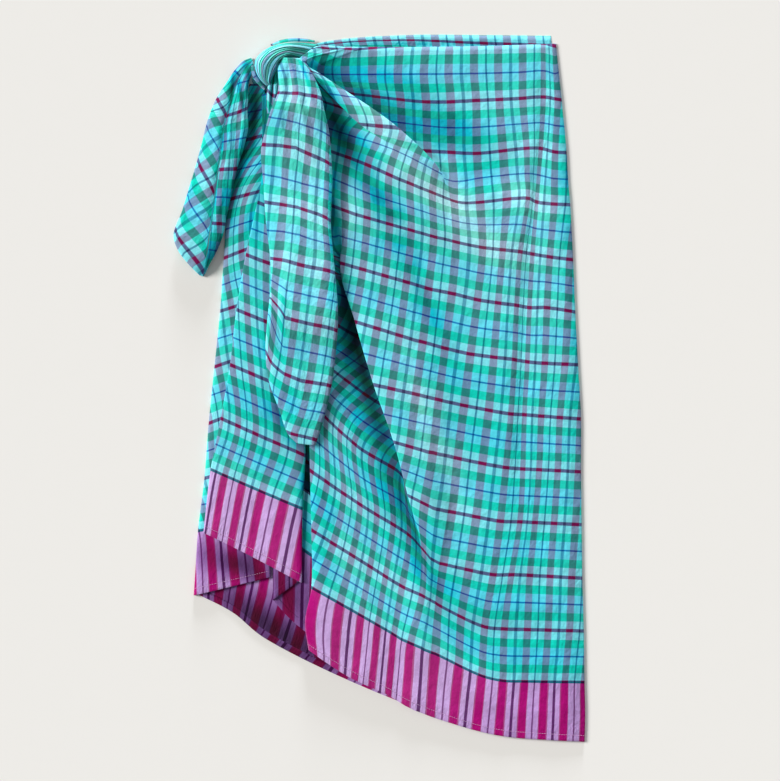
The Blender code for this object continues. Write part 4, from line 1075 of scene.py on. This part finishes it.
def back_cloth(material, side_end, wrap_end):
    """The flat back, straight from side to side except for its curved top edge and hem."""
    inset = np.array((0.3, 0, 0, 0, 0))
    right_rows = [row[0] for row in FRONT_LINES]
    right = side_end - inset
    above = np.array([(*place, 0, 0, 0) for _, place in BACK_LEFT_ABOVE_WRAP], float)
    above = np.concatenate([above, wrap_end[:1]])
    above = smooth_through(above, FRONT_PIECES_DOWN[:6])
    spot = np.concatenate([[0], np.cumsum(SIDE_PIECES_DOWN)])
    below = [np.linspace(spot[i], spot[i + 1], FRONT_PIECES_DOWN[6 + i], endpoint=False)
             for i in range(10)]
    index = np.concatenate([*below, [len(wrap_end) - 1]])
    low = np.floor(index).astype(int)
    high = np.minimum(low + 1, len(wrap_end) - 1)
    share = (index - low)[:, None]
    beside_wrap = wrap_end[low] * (1 - share) + wrap_end[high] * share + inset
    left = np.concatenate([above[:-1], beside_wrap])
    line = right[:, 4]
    across = np.linalg.norm(right[:, :2] - left[:, :2], axis=1) / STRIPE
    right_stripe = np.interp(line, down_the_cloth(right_rows), [row[1] for row in FRONT_STRIPES])
    hem_ease = np.clip((line - down_the_cloth(9)) / (CLOTH_LENGTH - down_the_cloth(9)), 0, 1)
    left_stripe = (right_stripe - across) * (1 - hem_ease) + BACK_HEM_STRIPES[0] * hem_ease
    left[:, 3], left[:, 4] = left_stripe * STRIPE, line
    right[:, 3] = right_stripe * STRIPE
    part = np.array(BACK_COLUMNS)[None, :, None]
    points = left[:, None] * (1 - part) + right[:, None] * part
    top = np.concatenate([left[0:1, :2], BACK_TOP]).astype(float)
    points[0, :, :2] = top
    shift = top - (left[0, :2] * (1 - part[0]) + right[0, :2] * part[0])
    points[0, :, 3] += shift[:, 0]
    points[:21, :, 4] -= 0.12 * REPEAT * np.linspace(1, 0, 21)[:, None]
    fading = np.linspace(0.95, 0, 20)[:, None]
    points[1:21, :, :2] += shift * fading[..., None]
    points[1:21, :, 3] += shift[:, 0] * fading
    shift = np.zeros((5, 5))
    shift[1:4, :2] = np.array(BACK_HEM) - points[-1, 1:4, :2]
    shift[:, 3] = np.array(BACK_HEM_STRIPES) * STRIPE - points[-1, :, 3]
    ease = np.linspace(0, 1, 26)[1:]
    points[-25:] += (ease**1.3)[:, None, None] * shift
    points = smooth_through(points.swapaxes(0, 1), (10, 14, 34, 26)).swapaxes(0, 1)
    points[..., 2] = 0
    shaped = creased(points, BACK_CREASES)
    piece = cloth("back_cloth", hemmed(shaped, 1), material, offset=1.0,
                  dark=shaded(shaped, BACK_PAINTED_SHADING))
    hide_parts("back_panel")
    return piece, shaped


def knot_cloth(material):
    """The wrapped band of the knot, pleated along its length.

    Across a section the crown rises as the root of a sine; the pleats are rounded ridges with
    sharp valleys, uneven in width, that swing slowly along the band.
    """
    rows = smooth_through(np.array(KNOT_SECTIONS, float), [7] * (len(KNOT_SECTIONS) - 1))
    outer, inner, underside, crown = rows[:, 0:2], rows[:, 2:4], rows[:, 4], rows[:, 5]
    share = np.linspace(0, 1, 12 * KNOT_PLEATS + 1)
    along = np.linspace(0, 1, len(rows))[:, None]
    flat = outer[:, None] * (1 - share[:, None]) + inner[:, None] * share[:, None]
    dome = (np.sin(np.pi / 2 * np.clip(share / 0.4, 0.05, 1)) ** 0.7
            * np.clip((1 - share) / 0.09, 0.05, 1) ** 0.5)
    swing = share + 0.02 * np.sin(7 * share + 5 * along) + 0.012 * np.sin(17 * share - 9 * along)
    ridge = np.abs(np.sin(np.pi * KNOT_PLEATS * swing)) ** 0.7
    uneven = 0.75 + 0.35 * np.sin(2.3 * np.floor(KNOT_PLEATS * share) + 6 * along)
    depth = KNOT_PLEAT_DEPTH * np.clip((crown - underside) / 20, 0.35, 1)
    top = (underside[:, None] + (crown - underside)[:, None] * dome
           - depth[:, None] * (1 - ridge) * uneven)
    top = np.maximum(top, underside[:, None] + 0.6)
    length = np.concatenate([[0], np.cumsum(np.linalg.norm(np.diff((outer + inner) / 2, axis=0),
                                                           axis=1))])
    stripe = (3.35 + share * 4.1) * STRIPE + 0 * along
    fold = np.sin(2.1 * np.floor(KNOT_PLEATS * share) + 0.6)
    line = (0.2 + 0.1 * fold) * REPEAT + length[:, None] * 0.12
    points = np.concatenate([flat, top[..., None], stripe[..., None], line[..., None]], axis=-1)
    # Painted shade in the valleys of the pleats and a painted highlight along the middle of the band.
    dark = 0.8 * (1 - ridge) ** 1.6 * uneven - 0.22 * np.sin(np.pi * share) ** 0.5
    piece = cloth("knot_cloth", points, material, dark=dark)
    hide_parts("knot_wrap")
    return piece


def rolled(name, path, radius, turns, stripe, line, material):
    """A rolled strand: a tube along a smooth path whose radius swells in soft folds round it."""
    centre = smooth_through(path, [8] * (len(path) - 1))
    ahead = np.gradient(centre, axis=0)
    ahead /= np.linalg.norm(ahead, axis=1, keepdims=True)
    level = np.cross(ahead, (0, 0, 1.0))
    level /= np.linalg.norm(level, axis=1, keepdims=True)
    up = np.cross(level, ahead)
    angle = np.linspace(0, 2 * np.pi, 25)
    along = np.linspace(0, 1, len(centre))[:, None]
    taper = np.sin(np.pi * np.clip(along, 0.06, 0.94)) ** 0.35
    size = radius * taper * (0.86 + 0.14 * np.abs(np.cos(turns * angle / 2 + 2.5 * along)))
    ring = (centre[:, None] + level[:, None] * (size * np.cos(angle))[..., None]
            + up[:, None] * (size * np.sin(angle))[..., None])
    spread = stripe * STRIPE + radius * angle + 0 * along
    run = line * REPEAT + np.linspace(0, 1, len(centre))[:, None] * 60 + 0 * angle
    points = np.concatenate([ring, spread[..., None], run[..., None]], axis=-1)
    return cloth(name, points, material, offset=-1.0, thickness=0.5)


def tail(name, edges, chart, stations, middle, ground, root_level, tilt, creases, painted_shading,
         seed, material):
    """A tail of the knot: its edges turned under, lying on the highest cloth below it."""
    places = np.array(edges, float)
    left, right = places[:, 0], places[:, -1]
    width = np.linalg.norm(right - left, axis=1)
    radius = np.minimum(TAIL_FOLD_RADIUS, width / 7)
    flap = np.minimum(TAIL_TURN_UNDER, width * 0.3)
    share = np.array(stations, float)
    low = np.minimum(np.floor(share).astype(int), places.shape[1] - 2)
    beyond = (share - low)[:, None]
    outline = places[:, low] * (1 - beyond) + places[:, low + 1] * beyond
    share = share / (places.shape[1] - 1)
    rows = np.arange(len(edges))
    puff = np.minimum(TAIL_PUFF, width * 0.05)[:, None] * np.sin(np.pi * share)
    puff = np.broadcast_to(puff, outline.shape[:2])
    lying = ground.height(outline, TAIL_REACH).max(axis=1)
    beside = np.pad(lying, 1, mode="edge")
    lying = np.maximum(lying, np.maximum(beside[:-2], beside[2:]))
    lying = np.where(lying > 0, lying + TAIL_CLEARANCE, 0) + FLOOR_LEVEL
    base = np.maximum(lying, root_level - TAIL_STEP_DOWN * rows)
    level = (base + 2 * radius)[:, None] + puff
    level[:, 0] = level[:, -1] = base + 2 * radius
    level = level + tilt * share * np.sin(np.pi * np.clip(rows / rows[-1], 0.03, 0.97))[:, None]
    chart = np.array(chart, float)
    half = chart.shape[1] // 2
    sections = laid(outline, level, chart[:, :half], chart[:, half:] * REPEAT)
    sections = folded_edge(sections, True, radius, flap)
    sections = folded_edge(sections, False, radius, flap)
    across = (3, 3, 3, *middle, 3, 3, 3)
    points = sheet_through(sections, [10] * (len(sections) - 1), across, True)
    top = slice(6, -6)
    shaped = rippled(creased(points, creases), seed, 0.35, 30)
    points[:, top, 2] = shaped[:, top, 2]
    # Painted shade and painted highlights of the tail.
    piece = cloth(name, points, material, dark=shaded(points, painted_shading))
    ground.lay(points)
    return piece, points


def stitched(name, grid, material):
    """A row of machine stitches along the hem: short round threads that dip at both ends.

    The row lies where the cloth's own length down is one hem short of its edge. Each stitch is
    a four-sided tube along an arc, at even steps of the row's length.
    """
    target = CLOTH_LENGTH - HEM
    down = grid[:, 0, 4]
    spot = np.interp(target, down, np.arange(len(down)))
    low = int(spot)
    line = grid[low] * (1 - spot + low) + grid[low + 1] * (spot - low)
    line = line[:, :3]
    gone = np.concatenate([[0], np.cumsum(np.linalg.norm(np.diff(line, axis=0), axis=1))])
    pitch, length = 3.4, 2.5
    starts = np.arange(2, gone[-1] - 4, pitch)
    share = np.linspace(0, 1, 6)
    along = starts[:, None] + share * length
    centre = np.stack([np.interp(along, gone, line[:, i]) for i in range(3)], axis=-1)
    centre[..., 2] += CLOTH / 2 + 0.12 + 0.28 * np.sin(np.pi * share) - 0.25
    ahead = np.gradient(centre, axis=1)
    ahead /= np.linalg.norm(ahead, axis=-1, keepdims=True)
    level = np.cross(ahead, (0, 0, 1.0))
    level /= np.linalg.norm(level, axis=-1, keepdims=True)
    up = np.cross(level, ahead)
    angle = np.radians((45, 135, 225, 315))
    size = 0.24
    ring = (centre[..., None, :] + level[..., None, :] * (size * np.cos(angle))[:, None]
            + up[..., None, :] * (size * np.sin(angle))[:, None])
    count = len(starts)
    number = np.arange(count * 6 * 4).reshape(count, 6, 4)
    following = np.roll(number, -1, axis=2)
    faces = np.stack([number[:, :-1], following[:, :-1], following[:, 1:], number[:, 1:]], -1)
    placed = (ring - (*ORIGIN, 0)) * MM
    mesh = bpy.data.meshes.new(name)
    mesh.from_pydata(placed.reshape(-1, 3).tolist(), [], faces.reshape(-1, 4).tolist()
                     + number[:, 0, ::-1].tolist() + number[:, -1].tolist())
    return add_piece(name, mesh, material)


def thread_material():
    """Twisted polyester thread: fine slanting bands along the stitch."""
    paint = Paint("hem_thread")
    place = paint.node("ShaderNodeTexCoord").outputs["Object"]
    apart = paint.node("ShaderNodeSeparateXYZ", {}, {0: place})
    x, y = (Number(paint, apart.outputs[i]) for i in (0, 1))
    twist = ((x * 9000 + y * 16000).sine() * 0.5) + 0.5
    colour = paint.mix(twist, srgb(196, 140, 190), srgb(226, 186, 222))
    paint.feed(paint.shader.inputs["Base Color"], colour)
    paint.feed(paint.shader.inputs["Roughness"], 0.5 + twist * 0.12)
    bump = paint.node("ShaderNodeBump", {}, {"Height": twist, "Distance": 0.0001, "Strength": 0.7})
    paint.feed(paint.shader.inputs["Normal"], bump.outputs[0])
    return paint.material


def floor_and_light():
    """A plain pale floor, two soft lamps and a pale sky."""
    mesh = bpy.data.meshes.new("floor")
    reach = 6.0
    corners = [(-reach, -reach, 0), (reach, -reach, 0), (reach, reach, 0), (-reach, reach, 0)]
    mesh.from_pydata(corners, [], [(0, 1, 2, 3)])
    floor = bpy.data.objects.new("floor", mesh)
    bpy.context.scene.collection.objects.link(floor)
    paint = Paint("pale_floor")
    place = paint.node("ShaderNodeTexCoord").outputs["Object"]
    grain = paint.noise(place, 30.0, 3.0)
    colour = paint.mix(grain * 0.3, srgb(235, 233, 229), srgb(232, 230, 226))
    paint.feed(paint.shader.inputs["Base Color"], colour)
    paint.shader.inputs["Roughness"].default_value = 0.95
    paint.shader.inputs["Specular IOR Level"].default_value = 0.1
    mesh.materials.append(paint.material)

    for name, strength, angle, azimuth, height, tint in (
            ("key", 4.0, 24, 164, 29, (1.0, 0.985, 0.96)),
            ("low", 4.2, 12, 86, 6, (0.92, 0.97, 1.04))):
        lamp = bpy.data.lights.new(name, "SUN")
        lamp.energy = strength
        lamp.angle = np.radians(angle)
        lamp.color = tint
        light = bpy.data.objects.new(name, lamp)
        bpy.context.scene.collection.objects.link(light)
        turn, rise = np.radians(azimuth), np.radians(height)
        light.rotation_euler = (np.pi / 2 - rise, 0, turn + np.pi / 2)
        light.location = (3 * np.cos(turn), 3 * np.sin(turn), 3)
    world = bpy.data.worlds.new("studio")
    bpy.context.scene.world = world
    world.use_nodes = True
    sky = world.node_tree.nodes["Background"]
    sky.inputs["Color"].default_value = (0.98, 0.99, 1.0, 1)
    sky.inputs["Strength"].default_value = 0.29


def camera():
    """Straight above, so that the picture's long side spans 1.0934 m of the floor."""
    height, span, sensor = 4.0, 1.0934, 36.0
    eye = bpy.data.cameras.new("eye")
    eye.sensor_width = sensor
    eye.lens = sensor * (height - 0.006) / span
    eye.clip_start, eye.clip_end = 0.1, 20
    view = bpy.data.objects.new("camera", eye)
    bpy.context.scene.collection.objects.link(view)
    view.location = (0.0147, -0.0034, height)
    bpy.context.scene.camera = view


bpy.context.scene.view_settings.view_transform = "Standard"
check = cotton("checked_cotton_weave")
gathered = cotton("gathered_cotton_weave", 0.8)
thread = thread_material()
ground = Ground()

front, front_grid, side_end = front_cloth(check, ground)
side, side_grid, wrap_end = side_cloth(check, ground)
back, back_grid = back_cloth(check, side_end, wrap_end)
left, left_grid, left_end = left_cloth(check, ground)
tucked, tucked_grid = tuck_cloth(check, left_end)
knot = knot_cloth(gathered)
strand = rolled("knot_end", STRAND_PATH, 3.3, 5, 0.8, 0.16, gathered)
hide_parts("knot_strand")
roll = rolled("rolled_waist_edge", ROLL_PATH, ROLL_RADIUS, 3, 1.1, 0.2, gathered)
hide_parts("waist_roll")
root_fold, root_grid = tail("folded_tail_root", ROOT_FOLD_SECTIONS, ROOT_FOLD_CLOTH,
                            (0, 0.33, 0.67, 1), (5, 5, 5), ground, 12, 0, ROOT_FOLD_CREASES,
                            ROOT_FOLD_PAINTED_SHADING, 16, gathered)
long_tail, long_grid = tail("long_tail", LONG_TAIL_SECTIONS, LONG_TAIL_CLOTH,
                            (0, 0.25, 0.5, 1), (9, 9, 14), ground, LONG_TAIL_ROOT_LEVEL, 8,
                            LONG_TAIL_CREASES, LONG_TAIL_PAINTED_SHADING, 12, gathered)
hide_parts("tail_long")
short_tail, short_grid = tail("short_tail", SHORT_TAIL_SECTIONS, SHORT_TAIL_CLOTH,
                              (0, 0.96, 1.04, 2), (12, 2, 10), ground, FLOOR_LEVEL, 0,
                              SHORT_TAIL_CREASES, SHORT_TAIL_PAINTED_SHADING, 14, gathered)
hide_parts("tail_short")

front_stitches = stitched("front_hem_stitches", front_grid, thread)
left_stitches = stitched("left_hem_stitches", left_grid, thread)
side_stitches = stitched("side_hem_stitches", side_grid, thread)

floor_and_light()
camera()
